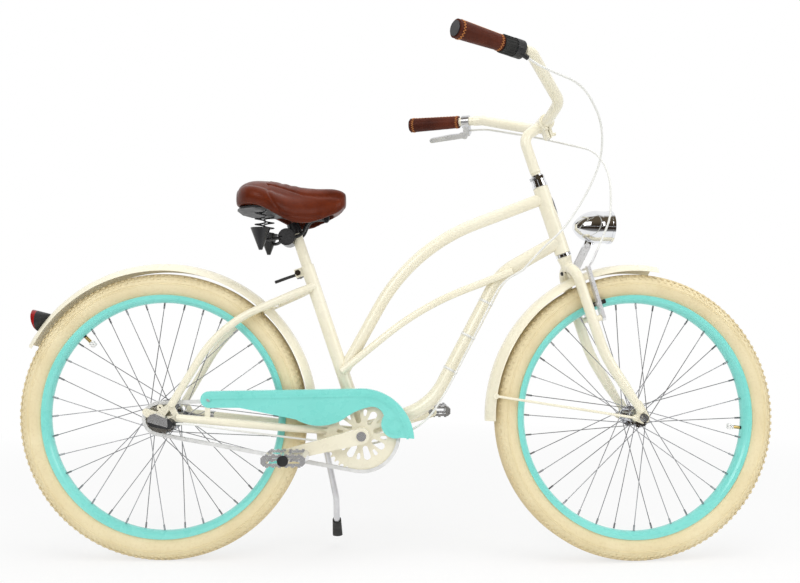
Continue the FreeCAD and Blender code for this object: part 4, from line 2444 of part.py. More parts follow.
shifter_port = V(shifter_radius - cable_port_radius, 0, shifter_place + shifter_width / 2)
shifter_port_axis = V(port_forward_share, port_side_share, -1).normalize()


def cord(points):
    """Cable along its route, with arcs as large as the room between the points allows."""
    return rod(points, [wheel_radius] * (len(points) - 2), cable_radius)


def shift_cable_loop():
    """Free loop of housing from the shifter to the guide on the down tube."""
    leave = right_bar_point(shifter_port + shifter_port_axis * cable_port_length)
    ahead = right_bar_point(shifter_port + shifter_port_axis * cable_port_length * cable_lead_share)
    return cord([leave, ahead] + [V(*p) for p in shift_loop_route] + [V(*shift_guide)])


def shift_cable_run():
    """Housing along the frame from the guide to the rear selector box."""
    points = [V(*shift_guide)] + [V(*p) for p in shift_run_route]
    end = rear_axle + V(click_box_length + click_box_back_radius + cable_port_radius,
                        -(
                            dropout_spread + dropout_thickness + axle_washer_thickness + click_box_depth / 2
                        ),
                        -click_box_drop)
    points += [end + X_AXIS * click_box_length, end]
    return cord(points)


def front_brake_cable():
    """Housing from the brake lever to the right arm's guide pipe, and the wire on to the left arm."""
    leave = left_bar_point(lever_port())
    ahead = left_bar_point(lever_port() - Z_AXIS * cable_port_length * 2)
    top = noodle_points()[0]
    end = steer_place.multVec(top)
    above = steer_place.multVec(top + (top - noodle_points()[1]) * noodle_lead_share)
    housing = cord([leave, ahead] + [V(*p) for p in brake_route] + [above, end])
    tip = arm_tip()
    start = tip.y - brake_arm_tip_radius - boot_length - seat_clearance
    wire = cylinder(V(tip.x, start, tip.z), -Y_AXIS, brake_wire_radius, start + noodle_end + noodle_overlap)
    return Part.makeCompound([housing, steered(wire)])


def lever_port():
    rise = lever_place + lever_clamp_width * lever_port_rise_share
    return V(lever_pivot_reach * lever_port_reach_share, 0, rise)


# Collects the nodes

front_hub_bore = front_cone_radius + running_clearance
rear_hub_bore = rear_cone_radius + running_clearance

nodes = {
    "head_tube": head_tube(),
    "top_tube": top_tube(),
    "down_tube": down_tube(),
    "seat_tube": seat_tube(),
    "bottom_bracket_shell": Part.makeCompound(
        bottom_bracket_shell().Solids + bottom_bracket_cups().Solids
    ),
    "cantilever_tubes": cantilever_tubes(),
    "chain_stays": chain_stays(),
    "seat_stays": seat_stays(),
    "headset_cups": headset_cups(),
    "rear_axle": rear_axle_set(),
    "shift_box": shift_box(),
    "chain_guard": chain_guard(),
    "rear_fender": rear_fender(),
    "tail_light": tail_light(),
    "shift_cable_run": shift_cable_run(),
    "shift_cable_loop": shift_cable_loop(),
    "chain": chain(),
    "seat_binder_bolt": seat_binder_bolt(),
    "seat_binder_lever": seat_binder_lever(),
    "kickstand_leg": kickstand_leg(),
    "kickstand_foot": kickstand_foot(),
    "seat_post": seat_post(),
    "saddle_undercarriage": saddle_undercarriage(),
    "saddle_springs": saddle_springs(),
    "saddle_base": saddle_base(),
    "saddle_cover": saddle_cover(),
    "crank_spindle": crank_spindle(),
    "right_crank_arm": crank_arm(right_pedal_offset, -1),
    "left_crank_arm": crank_arm(left_pedal_offset, 1),
    "chainring": chainring(),
    "right_pedal": pedal(right_pedal_offset, -1),
    "left_pedal": pedal(left_pedal_offset, 1),
    "rear_sprocket": rear_sprocket(),
    "rear_hub_shell": placed(
        hub_shell(rear_hub_bore, rear_shell_half, rear_barrel_radius, rear_flange_radius, rear_flange_place,
                  rear_spoke_circle), rear_wheel_place),
    "rear_rim": placed(rim(rear_valve_deg), rear_wheel_place),
    "rear_tyre": placed(tyre(), rear_wheel_place),
    "rear_inner_tube": placed(inner_tube(rear_valve_deg), rear_wheel_place),
    "rear_spokes": placed(spokes(rear_spoke_circle, rear_flange_place), rear_wheel_place),
    "fork": fork(),
    "headset_locknut": headset_locknut(),
    "stem": stem(),
    "handlebar": handlebar(),
    "grips": grips(),
    "shifter_housing": shifter_housing(),
    "shifter_sleeve": shifter_sleeve(),
    "brake_lever_bracket": brake_lever_bracket(),
    "brake_lever": brake_lever(),
    "front_brake_cable": front_brake_cable(),
    "front_fender": front_fender(),
    "headlight_bracket": headlight_bracket(),
    "headlight_shell": headlight_shell(),
    "headlight_lens": headlight_lens(),
    "front_axle": placed(front_axle_set(), front_wheel_place),
    "right_brake_arm": right_brake_arm(),
    "left_brake_arm": left_brake_arm(),
    "front_hub_shell": placed(
        hub_shell(front_hub_bore, front_shell_half, front_barrel_radius, front_flange_radius,
                  front_flange_place,
                  front_spoke_circle), front_wheel_place),
    "front_rim": placed(rim(front_valve_deg - head_lean_deg), front_wheel_place),
    "front_tyre": placed(tyre(), front_wheel_place),
    "front_inner_tube": placed(inner_tube(front_valve_deg - head_lean_deg), front_wheel_place),
    "front_spokes": placed(spokes(front_spoke_circle, front_flange_place), front_wheel_place),
}

# The turned bars reach further to the right, so all is moved to put the origin midway between their ends.
left_end = steer_place.multVec(bar_tip)
right_end = steer_place.multVec(V(bar_tip.x, -bar_tip.y, bar_tip.z))
centring = Y_AXIS * (-(left_end.y + right_end.y) / 2)

os.makedirs("parts", exist_ok=True)
for name, shape in nodes.items():
    shape = shape.copy()
    shape.translate(centring)
    shape.exportStep("parts/" + name + ".step")
    box = shape.BoundBox
    print(name, len(shape.Solids), shape.isValid(),
          [round(v, 1) for v in (box.XMin, box.XMax, box.YMin, box.YMax,
                                                                          box.ZMin, box.ZMax)])
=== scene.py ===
import math

import bmesh
import bpy
from mathutils import Matrix, Vector, noise


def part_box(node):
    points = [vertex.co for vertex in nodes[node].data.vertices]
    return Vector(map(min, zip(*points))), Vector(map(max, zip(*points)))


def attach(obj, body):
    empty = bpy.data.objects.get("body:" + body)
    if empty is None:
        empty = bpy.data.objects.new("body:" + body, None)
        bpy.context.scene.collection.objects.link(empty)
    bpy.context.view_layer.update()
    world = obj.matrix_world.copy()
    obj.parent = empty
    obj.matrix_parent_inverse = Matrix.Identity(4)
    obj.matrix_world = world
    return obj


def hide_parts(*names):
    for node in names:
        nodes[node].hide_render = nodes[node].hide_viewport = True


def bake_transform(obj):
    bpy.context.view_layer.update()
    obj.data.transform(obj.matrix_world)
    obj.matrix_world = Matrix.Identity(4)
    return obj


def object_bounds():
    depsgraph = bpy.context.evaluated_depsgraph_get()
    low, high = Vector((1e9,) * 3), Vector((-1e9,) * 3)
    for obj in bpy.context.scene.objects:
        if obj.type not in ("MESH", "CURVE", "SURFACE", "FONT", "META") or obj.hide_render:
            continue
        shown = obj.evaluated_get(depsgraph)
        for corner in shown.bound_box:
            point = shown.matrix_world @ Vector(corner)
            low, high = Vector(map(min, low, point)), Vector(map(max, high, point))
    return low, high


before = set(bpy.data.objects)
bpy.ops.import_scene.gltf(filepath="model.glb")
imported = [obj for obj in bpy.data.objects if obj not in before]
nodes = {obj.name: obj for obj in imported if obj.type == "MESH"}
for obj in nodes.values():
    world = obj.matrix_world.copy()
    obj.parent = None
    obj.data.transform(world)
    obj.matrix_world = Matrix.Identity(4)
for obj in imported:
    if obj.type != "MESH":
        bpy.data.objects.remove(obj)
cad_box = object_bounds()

scene = bpy.context.scene
V = Vector

# Sizes and places in metres and angles in degrees, as the part has them
WHEEL_RADIUS = 0.335
RIM_RADIUS = 0.2865
HALF_WHEELBASE = 0.554
HEAD_LEAN = -18.7
BAR_TURN = 7.0
MIDDLE = V((0.0, 0.021245, 0.0))
REAR_AXLE = V((-HALF_WHEELBASE, 0.0, WHEEL_RADIUS)) + MIDDLE
STEER_BASE = V((0.387, 0.0, 0.711)) + MIDDLE
LEAN = Matrix.Rotation(math.radians(HEAD_LEAN), 3, "Y")
TURN = LEAN @ Matrix.Rotation(math.radians(BAR_TURN), 3, "Z")
FRONT_AXLE = STEER_BASE + TURN @ V((0.03763, 0.0, -0.40969))
BAR_TIP = V((-0.1743, 0.320, 0.4802))
BAR_HIGH = V((-0.0088, 0.231, 0.4168))
LAMP_MOUTH = V((0.48662, 0.01442, 0.78304)) + MIDDLE
LAMP_AXIS = V((0.9933, 0.1154, -0.0023)).normalized()

# The photo's width, focal length and lens shift in pixels, the film's width in mm, and the camera's place
PHOTO_WIDTH = 800.0
FOCAL_LENGTH = 805.0
SHIFT_ACROSS = 5.0
SHIFT_UP = 41.5
FILM_WIDTH = 36.0
CAMERA_AT = V((-0.0118, -1.9, 0.532)) + MIDDLE

# Lengths too small to matter
NEAR = 1e-6
TINY = 1e-9


def steered(point):
    """A point of the straight-ahead front end, where it is with the bars turned."""
    return STEER_BASE + TURN @ V(point)


# Shader helpers


def material(name):
    made = bpy.data.materials.new(name)
    made.use_nodes = True
    return made, made.node_tree, made.node_tree.nodes["Principled BSDF"]


def node(tree, kind, inputs=None, **settings):
    made = tree.nodes.new(kind)
    for key, value in settings.items():
        setattr(made, key, value)
    for key, value in (inputs or {}).items():
        if isinstance(value, bpy.types.NodeSocket):
            tree.links.new(value, made.inputs[key])
        else:
            made.inputs[key].default_value = value
    return made


def place(tree):
    return node(tree, "ShaderNodeTexCoord").outputs["Object"]


def maths(tree, operation, a, b=0.0, c=0.0):
    made = node(tree, "ShaderNodeMath", {0: a, 1: b, 2: c}, operation=operation)
    return made.outputs[0]


def vector_maths(tree, operation, a, b):
    made = node(tree, "ShaderNodeVectorMath", {0: a, 1: b}, operation=operation)
    return made.outputs["Value" if operation in ("DOT_PRODUCT", "LENGTH") else "Vector"]


def cloud(tree, scale, detail=3.0, rough=0.5):
    """Noise value at the surface."""
    inputs = {"Vector": place(tree), "Scale": scale, "Detail": detail, "Roughness": rough}
    return node(tree, "ShaderNodeTexNoise", inputs).outputs["Fac"]


def cells(tree, scale):
    """Distance from the middle of the nearest cell."""
    return node(tree, "ShaderNodeTexVoronoi", {"Vector": place(tree), "Scale": scale}).outputs["Distance"]


def ramp(tree, value, stops):
    made = node(tree, "ShaderNodeValToRGB", {"Fac": value})
    band = made.color_ramp
    while len(band.elements) < len(stops):
        band.elements.new(0.5)
    for element, (at, colour) in zip(band.elements, stops):
        element.position = at
        element.color = (*colour, 1.0)
    return made.outputs["Color"]


def spread(tree, value, low, high, to_low=0.0, to_high=1.0):
    made = node(
        tree,
        "ShaderNodeMapRange",
        {"Value": value, "From Min": low, "From Max": high, "To Min": to_low, "To Max": to_high},
    )
    return made.outputs["Result"]


def mixed(tree, factor, a, b):
    made = node(tree, "ShaderNodeMix", {0: factor}, data_type="RGBA")
    for socket, value in ((made.inputs[6], a), (made.inputs[7], b)):
        if isinstance(value, bpy.types.NodeSocket):
            tree.links.new(value, socket)
        else:
            socket.default_value = (*value, 1.0)
    return made.outputs[2]


def raised(tree, shader, height, distance, strength):
    made = node(tree, "ShaderNodeBump", {"Height": height, "Strength": strength, "Distance": distance})
    tree.links.new(made.outputs["Normal"], shader.inputs["Normal"])


def feed(tree, shader, **sockets):
    for key, value in sockets.items():
        name = key.replace("_", " ")
        if isinstance(value, bpy.types.NodeSocket):
            tree.links.new(value, shader.inputs[name])
        elif isinstance(value, tuple):
            shader.inputs[name].default_value = (*value, 1.0)
        else:
            shader.inputs[name].default_value = value


def distance_from(tree, point):
    where = vector_maths(tree, "SUBTRACT", place(tree), tuple(point))
    return vector_maths(tree, "LENGTH", where, (0, 0, 0))


def distance_along(tree, point, axis):
    where = vector_maths(tree, "SUBTRACT", place(tree), tuple(point))
    return vector_maths(tree, "DOT_PRODUCT", where, tuple(V(axis).normalized()))


def beyond(tree, point, axis):
    """1 on the side of a plane that its axis points to."""
    return maths(tree, "GREATER_THAN", distance_along(tree, point, axis), 0.0)


def below(tree, value, limit):
    return maths(tree, "LESS_THAN", value, limit)


def above(tree, value, limit):
    return maths(tree, "GREATER_THAN", value, limit)


def both(tree, a, b):
    return maths(tree, "MULTIPLY", a, b)


def either(tree, a, b):
    return maths(tree, "MAXIMUM", a, b)


def waves(tree, value, rate):
    return maths(tree, "SINE", maths(tree, "MULTIPLY", value, rate))


def clouded(tree, scale, detail, deep, light, low=0.3, high=0.7):
    """Colour that drifts between two shades."""
    return ramp(tree, cloud(tree, scale, detail), ((low, deep), (high, light)))


def uneven(tree, scale, detail, low, high):
    """Value that drifts between two limits, for roughness."""
    return spread(tree, cloud(tree, scale, detail), 0.3, 0.7, low, high)


# Materials


def paint(name, light, deep):
    """Gloss enamel under a clear coat, with faint shade drift, uneven gloss and slow orange peel."""
    made, tree, shader = material(name)
    colour = clouded(tree, scale=7.0, detail=2.0, deep=deep, light=light)
    feed(tree, shader, Base_Color=colour, Coat_Weight=0.5, Coat_Roughness=0.06, IOR=1.5)
    feed(tree, shader, Roughness=uneven(tree, scale=45.0, detail=4.0, low=0.22, high=0.36))
    raised(tree, shader, cloud(tree, scale=60.0, detail=1.0), distance=0.0002, strength=0.02)
    return made


def metal(name, light, deep, low, high, grain=260.0, mark=0.1, metallic=1.0):
    """Bare or plated metal with faint clouding, and fine specks in its gloss and its surface."""
    made, tree, shader = material(name)
    colour = clouded(tree, scale=30.0, detail=4.0, deep=deep, light=light, high=0.65)
    feed(tree, shader, Base_Color=colour, Metallic=metallic)
    specks = cloud(tree, grain, detail=4.0, rough=0.6)
    feed(tree, shader, Roughness=spread(tree, specks, 0.25, 0.75, low, high))
    raised(tree, shader, specks, distance=0.0003, strength=mark)
    return made


def plastic(name, light, deep, low=0.38, high=0.55, grain=900.0, depth=0.0003, strength=0.25):
    """Moulded plastic or rubber with fine grain and slight bloom."""
    made, tree, shader = material(name)
    colour = clouded(tree, scale=22.0, detail=4.0, deep=deep, light=light)
    dullness = uneven(tree, scale=60.0, detail=3.0, low=low, high=high)
    feed(tree, shader, Base_Color=colour, Roughness=dullness)
    raised(tree, shader, cells(tree, grain), depth, strength)
    return made


def leather(name, light, mid, deep, low, high, grain, crease):
    """Pebbled hide with drifting shade, darker pores, fine creases and a faint waxed shine."""
    made, tree, shader = material(name)
    drift = cloud(tree, scale=16.0, detail=5.0, rough=0.6)
    colour = ramp(tree, drift, ((0.28, deep), (0.5, mid), (0.74, light)))
    pores = cells(tree, grain)
    pore_shade = tuple(channel * 0.4 for channel in deep)
    colour = mixed(tree, spread(tree, pores, 0.05, 0.4, 0.35, 0.0), colour, pore_shade)
    feed(tree, shader, Base_Color=colour, Coat_Weight=0.04, Coat_Roughness=0.2, Specular_IOR_Level=0.16)
    feed(tree, shader, Roughness=uneven(tree, scale=70.0, detail=4.0, low=low, high=high))
    creases = cloud(tree, crease, detail=4.0, rough=0.6)
    height = maths(tree, "MULTIPLY_ADD", creases, 1.4, pores)
    raised(tree, shader, height, distance=0.0006, strength=0.35)
    return made


BLACK_LIGHT = (0.030, 0.030, 0.032)
BLACK_DEEP = (0.012, 0.012, 0.013)


def two_tone(name, finish, mask_maker, light=BLACK_LIGHT, deep=BLACK_DEEP, low=0.3, high=0.5):
    """Copy of a finish that turns to a second, moulded one where the mask is 1."""
    made = finish.copy()
    made.name = name
    tree = made.node_tree
    first = tree.nodes["Principled BSDF"]
    second = tree.nodes.new("ShaderNodeBsdfPrincipled")
    colour = clouded(tree, scale=40.0, detail=4.0, deep=deep, light=light)
    dullness = uneven(tree, scale=90.0, detail=3.0, low=low, high=high)
    feed(tree, second, Base_Color=colour, Roughness=dullness)
    raised(tree, second, cells(tree, scale=900.0), distance=0.0003, strength=0.2)
    blend = node(tree, "ShaderNodeMixShader", {0: mask_maker(tree)})
    tree.links.new(first.outputs[0], blend.inputs[1])
    tree.links.new(second.outputs[0], blend.inputs[2])
    tree.links.new(blend.outputs[0], tree.nodes["Material Output"].inputs["Surface"])
    return made


cream = paint("cream_enamel", (0.870, 0.825, 0.665), (0.840, 0.785, 0.605))
turquoise = paint("turquoise_enamel", (0.235, 0.735, 0.665), (0.200, 0.690, 0.620))
chrome = metal("bright_chrome", (0.86, 0.87, 0.89), (0.78, 0.79, 0.81),
               low=0.03, high=0.10, grain=140.0, mark=0.02)
steel = metal("drawn_steel", (0.66, 0.66, 0.67), (0.50, 0.50, 0.52), low=0.20, high=0.36)
alloy = metal("cast_alloy", (0.74, 0.74, 0.75), (0.60, 0.60, 0.62),
              low=0.24, high=0.42, grain=500.0, mark=0.12)
satin = metal("satin_silver", (0.86, 0.86, 0.87), (0.76, 0.76, 0.77),
              low=0.24, high=0.36, grain=300.0, mark=0.06, metallic=0.45)
worn_chrome = metal("worn_chrome", (0.86, 0.86, 0.87), (0.74, 0.74, 0.75),
                    low=0.10, high=0.20, grain=300.0, mark=0.05, metallic=0.75)
spoke = metal("spoke_wire", (0.46, 0.46, 0.48), (0.30, 0.30, 0.32), low=0.16, high=0.32)
white_chain = plastic("white_chain", (0.80, 0.80, 0.79), (0.66, 0.66, 0.65),
                      low=0.22, high=0.38, grain=700.0, depth=0.0002, strength=0.15)
nickel = metal("nickel_sprocket", (0.70, 0.68, 0.63), (0.48, 0.46, 0.42),
               low=0.16, high=0.34, grain=700.0, mark=0.1)
black_plastic = plastic("black_plastic", (0.030, 0.030, 0.032), (0.013, 0.013, 0.014))
black_paint = plastic("black_enamel", (0.024, 0.024, 0.026), (0.010, 0.010, 0.011),
                      low=0.16, high=0.30, grain=500.0, depth=0.0002, strength=0.1)
black_rubber = plastic("black_rubber", (0.030, 0.029, 0.028), (0.014, 0.014, 0.013),
                       low=0.6, high=0.8, grain=1200.0, depth=0.0003, strength=0.3)
white_housing = plastic("white_housing", (0.84, 0.84, 0.81), (0.76, 0.76, 0.72),
                        low=0.3, high=0.45, grain=1500.0, depth=0.0001, strength=0.1)
vinyl = leather("brown_vinyl", (0.150, 0.024, 0.005), (0.104, 0.015, 0.003), (0.060, 0.009, 0.002),
                low=0.28, high=0.42, grain=520.0, crease=60.0)
hide = leather("brown_hide", (0.120, 0.024, 0.009), (0.084, 0.016, 0.006), (0.050, 0.009, 0.004),
               low=0.46, high=0.62, grain=640.0, crease=90.0)
badge_enamel = plastic("badge_enamel", (0.030, 0.028, 0.050), (0.016, 0.015, 0.028),
                       low=0.14, high=0.26, grain=500.0, depth=0.0002, strength=0.08)
thread = plastic("orange_thread", (0.62, 0.24, 0.06), (0.46, 0.16, 0.04),
                 low=0.6, high=0.8, grain=2600.0, depth=0.0002, strength=0.5)

# Distances from the axle where a wheel's finishes change, and the rates of fine lines
TREAD_FOOT = 0.3285
TREAD_TOP = 0.3345
VALVE_CAP_END = 0.2478
VALVE_STEM_END = 0.2640
MOULD_LINE_RATE = 2600.0
LENS_RIB_RATE = 2400.0


def tyre_rubber(name, centre):
    """Cream-tan tyre rubber, browner toward the tread's top and in road stains, with faint mould lines."""
    made, tree, shader = material(name)
    reach = distance_from(tree, centre)
    colour = clouded(tree, scale=12.0, detail=4.0, deep=(0.755, 0.640, 0.385), light=(0.830, 0.725, 0.470))
    # The tread's top turns browner all round the wheel.
    browner_crown = spread(tree, reach, TREAD_FOOT, TREAD_TOP, 0.0, 0.30)
    colour = mixed(tree, browner_crown, colour, (0.48, 0.33, 0.13))
    road = spread(tree, cloud(tree, scale=160.0, detail=5.0, rough=0.7), 0.5, 0.75, 0.0, 0.30)
    colour = mixed(tree, road, colour, (0.56, 0.40, 0.17))
    dullness = uneven(tree, scale=90.0, detail=3.0, low=0.55, high=0.72)
    feed(tree, shader, Base_Color=colour, Roughness=dullness)
    grain = cloud(tree, scale=900.0, detail=2.0)
    height = maths(tree, "MULTIPLY_ADD", waves(tree, reach, MOULD_LINE_RATE), 0.3, grain)
    raised(tree, shader, height, distance=0.0003, strength=0.25)
    return made


def tube_and_valve(name, centre):
    """Black air tube, brass valve stem and a white cap, told apart by their distance from the axle."""
    made, tree, shader = material(name)
    reach = distance_from(tree, centre)
    cap = below(tree, reach, VALVE_CAP_END)
    brass = below(tree, reach, VALVE_STEM_END)
    black = clouded(tree, scale=60.0, detail=3.0, deep=(0.012, 0.012, 0.012), light=(0.03, 0.03, 0.03))
    yellow = clouded(tree, scale=300.0, detail=3.0, deep=(0.55, 0.38, 0.14), light=(0.72, 0.52, 0.22))
    white = clouded(tree, scale=200.0, detail=3.0, deep=(0.84, 0.84, 0.82), light=(0.9, 0.9, 0.88))
    colour = mixed(tree, cap, mixed(tree, brass, black, yellow), white)
    feed(tree, shader, Base_Color=colour, Metallic=maths(tree, "SUBTRACT", brass, cap))
    feed(tree, shader, Roughness=uneven(tree, scale=400.0, detail=3.0, low=0.22, high=0.38))
    return made


def clear_glass(name):
    """Clear lens with fine upright ribs."""
    made, tree, shader = material(name)
    ribs = waves(tree, distance_along(tree, (0, 0, 0), (0, 1, 0)), LENS_RIB_RATE)
    feed(tree, shader, Base_Color=(0.97, 0.98, 0.98), Roughness=0.04, Transmission_Weight=0.92, IOR=1.45)
    raised(tree, shader, ribs, distance=0.0004, strength=0.3)
    return made


glass = clear_glass("clear_lens")

# Where the second finish of a two-tone piece starts

PLUG_REACH = 0.03
PLUG_GAP = 0.0002
PAD_SIDE = 0.0300
PAD_TOP = 0.305
BOOT_SIDE = 0.0404
BOOT_FOOT = 0.345
CLICK_FOOT = V((-0.576, 0, 0.3334))
CLICK_FOOT_WAY = (-0.2672, 0, -0.9636)
CLICK_BOOT = V((-0.5237, 0, 0))
SCREW_HEAD_RADIUS = 0.0075
SCREW_HEAD_HEIGHT = 0.0016
LAMP_SWITCH_FOOT = 0.0412
PEDAL_CAP_HEIGHT = 0.0039
TAIL_LENS_DEPTH = 0.012
rear_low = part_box("tail_light")[0]
guard_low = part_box("chain_guard")[0]
guard_screw_at = V((-0.4415, guard_low.y, 0.374))
right_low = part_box("right_pedal")[0]
left_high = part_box("left_pedal")[1]


def grip_plugs(tree):
    """The plugs past the ends of both grips."""
    found = 0.0
    for side in (-1, 1):
        tip = steered(BAR_TIP * V((1, side, 1)))
        axis = tip - steered(BAR_HIGH * V((1, side, 1)))
        near = below(tree, distance_from(tree, tip), PLUG_REACH)
        here = both(tree, near, beyond(tree, tip + axis.normalized() * PLUG_GAP, axis))
        found = either(tree, here, found)
    return found


def pads(tree):
    """Brake pads beside the front rim, inside the arms."""
    aside = maths(tree, "ABSOLUTE", distance_along(tree, FRONT_AXLE, TURN @ V((0, 1, 0))))
    low = below(tree, distance_from(tree, FRONT_AXLE), PAD_TOP)
    return both(tree, below(tree, aside, PAD_SIDE), low)


def pads_and_boot(tree):
    """Pads, and the rubber boot that covers the wire beside the left arm's tip."""
    aside = distance_along(tree, FRONT_AXLE, TURN @ V((0, 1, 0)))
    high = above(tree, distance_from(tree, FRONT_AXLE), BOOT_FOOT)
    boot = both(tree, below(tree, aside, BOOT_SIDE), high)
    return either(tree, pads(tree), boot)


def click_base(tree):
    """Foot and boot of the click box, below its bright dome."""
    return either(tree, beyond(tree, CLICK_FOOT, CLICK_FOOT_WAY), beyond(tree, CLICK_BOOT, (1, 0, 0)))


def guard_screw(tree):
    """Head of the screw at the chain guard's rear end."""
    near = below(tree, distance_from(tree, guard_screw_at), SCREW_HEAD_RADIUS)
    return both(tree, near, beyond(tree, V((0, guard_low.y + SCREW_HEAD_HEIGHT, 0)), (0, -1, 0)))


def right_pedal_cap(tree):
    return beyond(tree, right_low + V((0, PEDAL_CAP_HEIGHT, 0)), (0, -1, 0))


def left_pedal_cap(tree):
    return beyond(tree, left_high - V((0, PEDAL_CAP_HEIGHT, 0)), (0, 1, 0))


def tail_lens(tree):
    return beyond(tree, rear_low + V((TAIL_LENS_DEPTH, 0, 0)), (-1, 0, 0))


def lamp_switch(tree):
    """Switch that stands on top of the headlight."""
    rise = V((0, 0, 1)) - LAMP_AXIS * LAMP_AXIS.z
    return beyond(tree, LAMP_MOUTH + rise.normalized() * LAMP_SWITCH_FOOT, rise)


screwed_guard = two_tone("screwed_guard", turquoise, guard_screw,
                         light=(0.46, 0.46, 0.47), deep=(0.34, 0.34, 0.35), low=0.15, high=0.3)
plugged_hide = two_tone("plugged_hide", hide, grip_plugs)
arm_and_pad = two_tone("arm_and_pad", satin, pads)
left_arm_finish = two_tone("arm_pad_and_boot", satin, pads_and_boot)
right_capped = two_tone("right_capped", worn_chrome, right_pedal_cap)
left_capped = two_tone("left_capped", worn_chrome, left_pedal_cap)
domed_box = two_tone("domed_box", worn_chrome, click_base)
switched_lamp = two_tone("switched_lamp", chrome, lamp_switch)
red_rear = two_tone("red_rear", black_plastic, tail_lens,
                    light=(0.36, 0.010, 0.010), deep=(0.22, 0.004, 0.004), low=0.08, high=0.2)

FINISH = {
    "chain_guard": screwed_guard, "front_rim": turquoise, "rear_rim": turquoise,
    "headset_cups": chrome, "headset_locknut": chrome, "headlight_bracket": satin,
    "headlight_shell": switched_lamp,
    "seat_binder_bolt": chrome, "right_brake_arm": arm_and_pad, "left_brake_arm": left_arm_finish,
    "front_hub_shell": chrome, "rear_hub_shell": chrome, "brake_lever": alloy, "brake_lever_bracket": alloy,
    "front_axle": steel, "rear_axle": steel, "front_spokes": spoke, "rear_spokes": spoke,
    "kickstand_leg": alloy,
    "crank_spindle": worn_chrome, "rear_sprocket": nickel, "chain": white_chain,
    "kickstand_foot": black_rubber, "tail_light": red_rear, "saddle_undercarriage": black_paint,
    "saddle_springs": black_paint, "saddle_base": black_plastic, "seat_binder_lever": black_plastic,
    "shifter_housing": black_plastic, "shifter_sleeve": black_rubber, "grips": plugged_hide,
    "saddle_cover": vinyl,
    "shift_cable_run": white_housing, "shift_cable_loop": white_housing, "front_brake_cable": white_housing,
    "right_pedal": right_capped, "left_pedal": left_capped, "headlight_lens": glass, "shift_box": domed_box,
    "front_tyre": tyre_rubber("cream_tyre_front", FRONT_AXLE),
    "rear_tyre": tyre_rubber("cream_tyre_rear", REAR_AXLE),
    "front_inner_tube": tube_and_valve("tube_front", FRONT_AXLE),
    "rear_inner_tube": tube_and_valve("tube_rear", REAR_AXLE),
}


def dress(piece, finish):
    """Every material slot of a piece takes one finish."""
    if not piece.data.materials:
        piece.data.materials.append(finish)
    for slot in piece.material_slots:
        slot.material = finish


for name, piece in nodes.items():
    dress(piece, FINISH.get(name, cream))


# Mesh helpers

ROUND_SHARE = 0.7


def from_bmesh(name, build, finish, smooth=True):
    mesh = bpy.data.meshes.new(name)
    build.normal_update()
    build.to_mesh(mesh)
    build.free()
    if smooth:
        mesh.polygons.foreach_set("use_smooth", [True] * len(mesh.polygons))
    mesh.update()
    piece = bpy.data.objects.new(name, mesh)
    scene.collection.objects.link(piece)
    dress(piece, finish)
    return piece


def copy_of(name, node_name):
    """A new piece with its own copy of a node's mesh."""
    source = nodes[node_name]
    mesh = source.data.copy()
    mesh.transform(source.matrix_world)
    piece = bpy.data.objects.new(name, mesh)
    scene.collection.objects.link(piece)
    return piece


def applied(piece):
    """Mesh that a piece's modifiers make of it; the modifiers are then cleared."""
    depsgraph = bpy.context.evaluated_depsgraph_get()
    mesh = bpy.data.meshes.new_from_object(piece.evaluated_get(depsgraph))
    piece.modifiers.clear()
    return mesh


def frame_of(axis, hint=(0, 0, 1)):
    """Rotation whose third column is axis."""
    w = V(axis).normalized()
    u = V(hint).cross(w)
    if u.length < NEAR:
        u = V((1, 0, 0)).cross(w)
    u.normalize()
    v = w.cross(u)
    return Matrix((u, v, w)).transposed()


def lathe(build, profile, origin, axis, steps):
    """Turns (radius, height) pairs about an axis; a zero radius closes to a point."""
    turn = frame_of(axis)
    rings = []
    for radius, height in profile:
        if radius < TINY:
            rings.append([build.verts.new(V(origin) + turn @ V((0, 0, height)))])
            continue
        ring = []
        for k in range(steps):
            a = 2 * math.pi * k / steps
            point = V((radius * math.cos(a), radius * math.sin(a), height))
            ring.append(build.verts.new(V(origin) + turn @ point))
        rings.append(ring)
    for low, high in zip(rings, rings[1:]):
        for k in range(steps):
            j = (k + 1) % steps
            if len(low) == 1 and len(high) == 1:
                continue
            if len(low) == 1:
                build.faces.new((low[0], high[k], high[j]))
            elif len(high) == 1:
                build.faces.new((low[k], low[j], high[0]))
            else:
                build.faces.new((low[k], low[j], high[j], high[k]))


def bar(build, start, end, radius, steps):
    """Round-ended bar between two points."""
    axis = V(end) - V(start)
    length = axis.length
    cap = radius * ROUND_SHARE
    profile = [(0, -cap), (radius * ROUND_SHARE, -cap * ROUND_SHARE), (radius, 0), (radius, length),
               (radius * ROUND_SHARE, length + cap * ROUND_SHARE), (0, length + cap)]
    lathe(build, profile, start, axis, steps)


# Saddle: its mesh, the seams' widths and depths, and the shares of its size where they run

SHRINK_SHARES = (0.985, 0.975, 0.97, 1)
SADDLE_GRID = 0.005
HELD_SLOPE = -0.35
UNDERSIDE_SLOPE = -0.5
CLOTH_FRAMES = 20
CLOTH_LIMIT = 0.006
PANEL_WIDTH = 0.0032
PANEL_DEPTH = 0.0026
PANEL_REAR_SHARE = 0.62
PANEL_TAPER_SHARE = 0.47
PANEL_START_SHARE = 0.30
PANEL_END_SHARE = 0.95
PANEL_MARGIN_SHARE = 0.02
FLANK_WIDTH = 0.0030
FLANK_DEPTH = 0.0020
FLANK_TOP = 0.012
FLANK_FALL_SHARE = 0.75
FLANK_RUN_SHARE = 0.16
FLANK_POWER = 1.6
HEM_WIDTH = 0.0028
HEM_DEPTH = 0.0014
HEM_HEIGHT_SHARE = 0.16
HEM_SLOPE = 0.5
RIPPLE_DEPTH = 0.0008
RIPPLE_RATE = 74.0
RIPPLE_SLANT = 2.2
RIPPLE_JITTER = 1.5
RIPPLE_NOISE_SCALE = 30.0
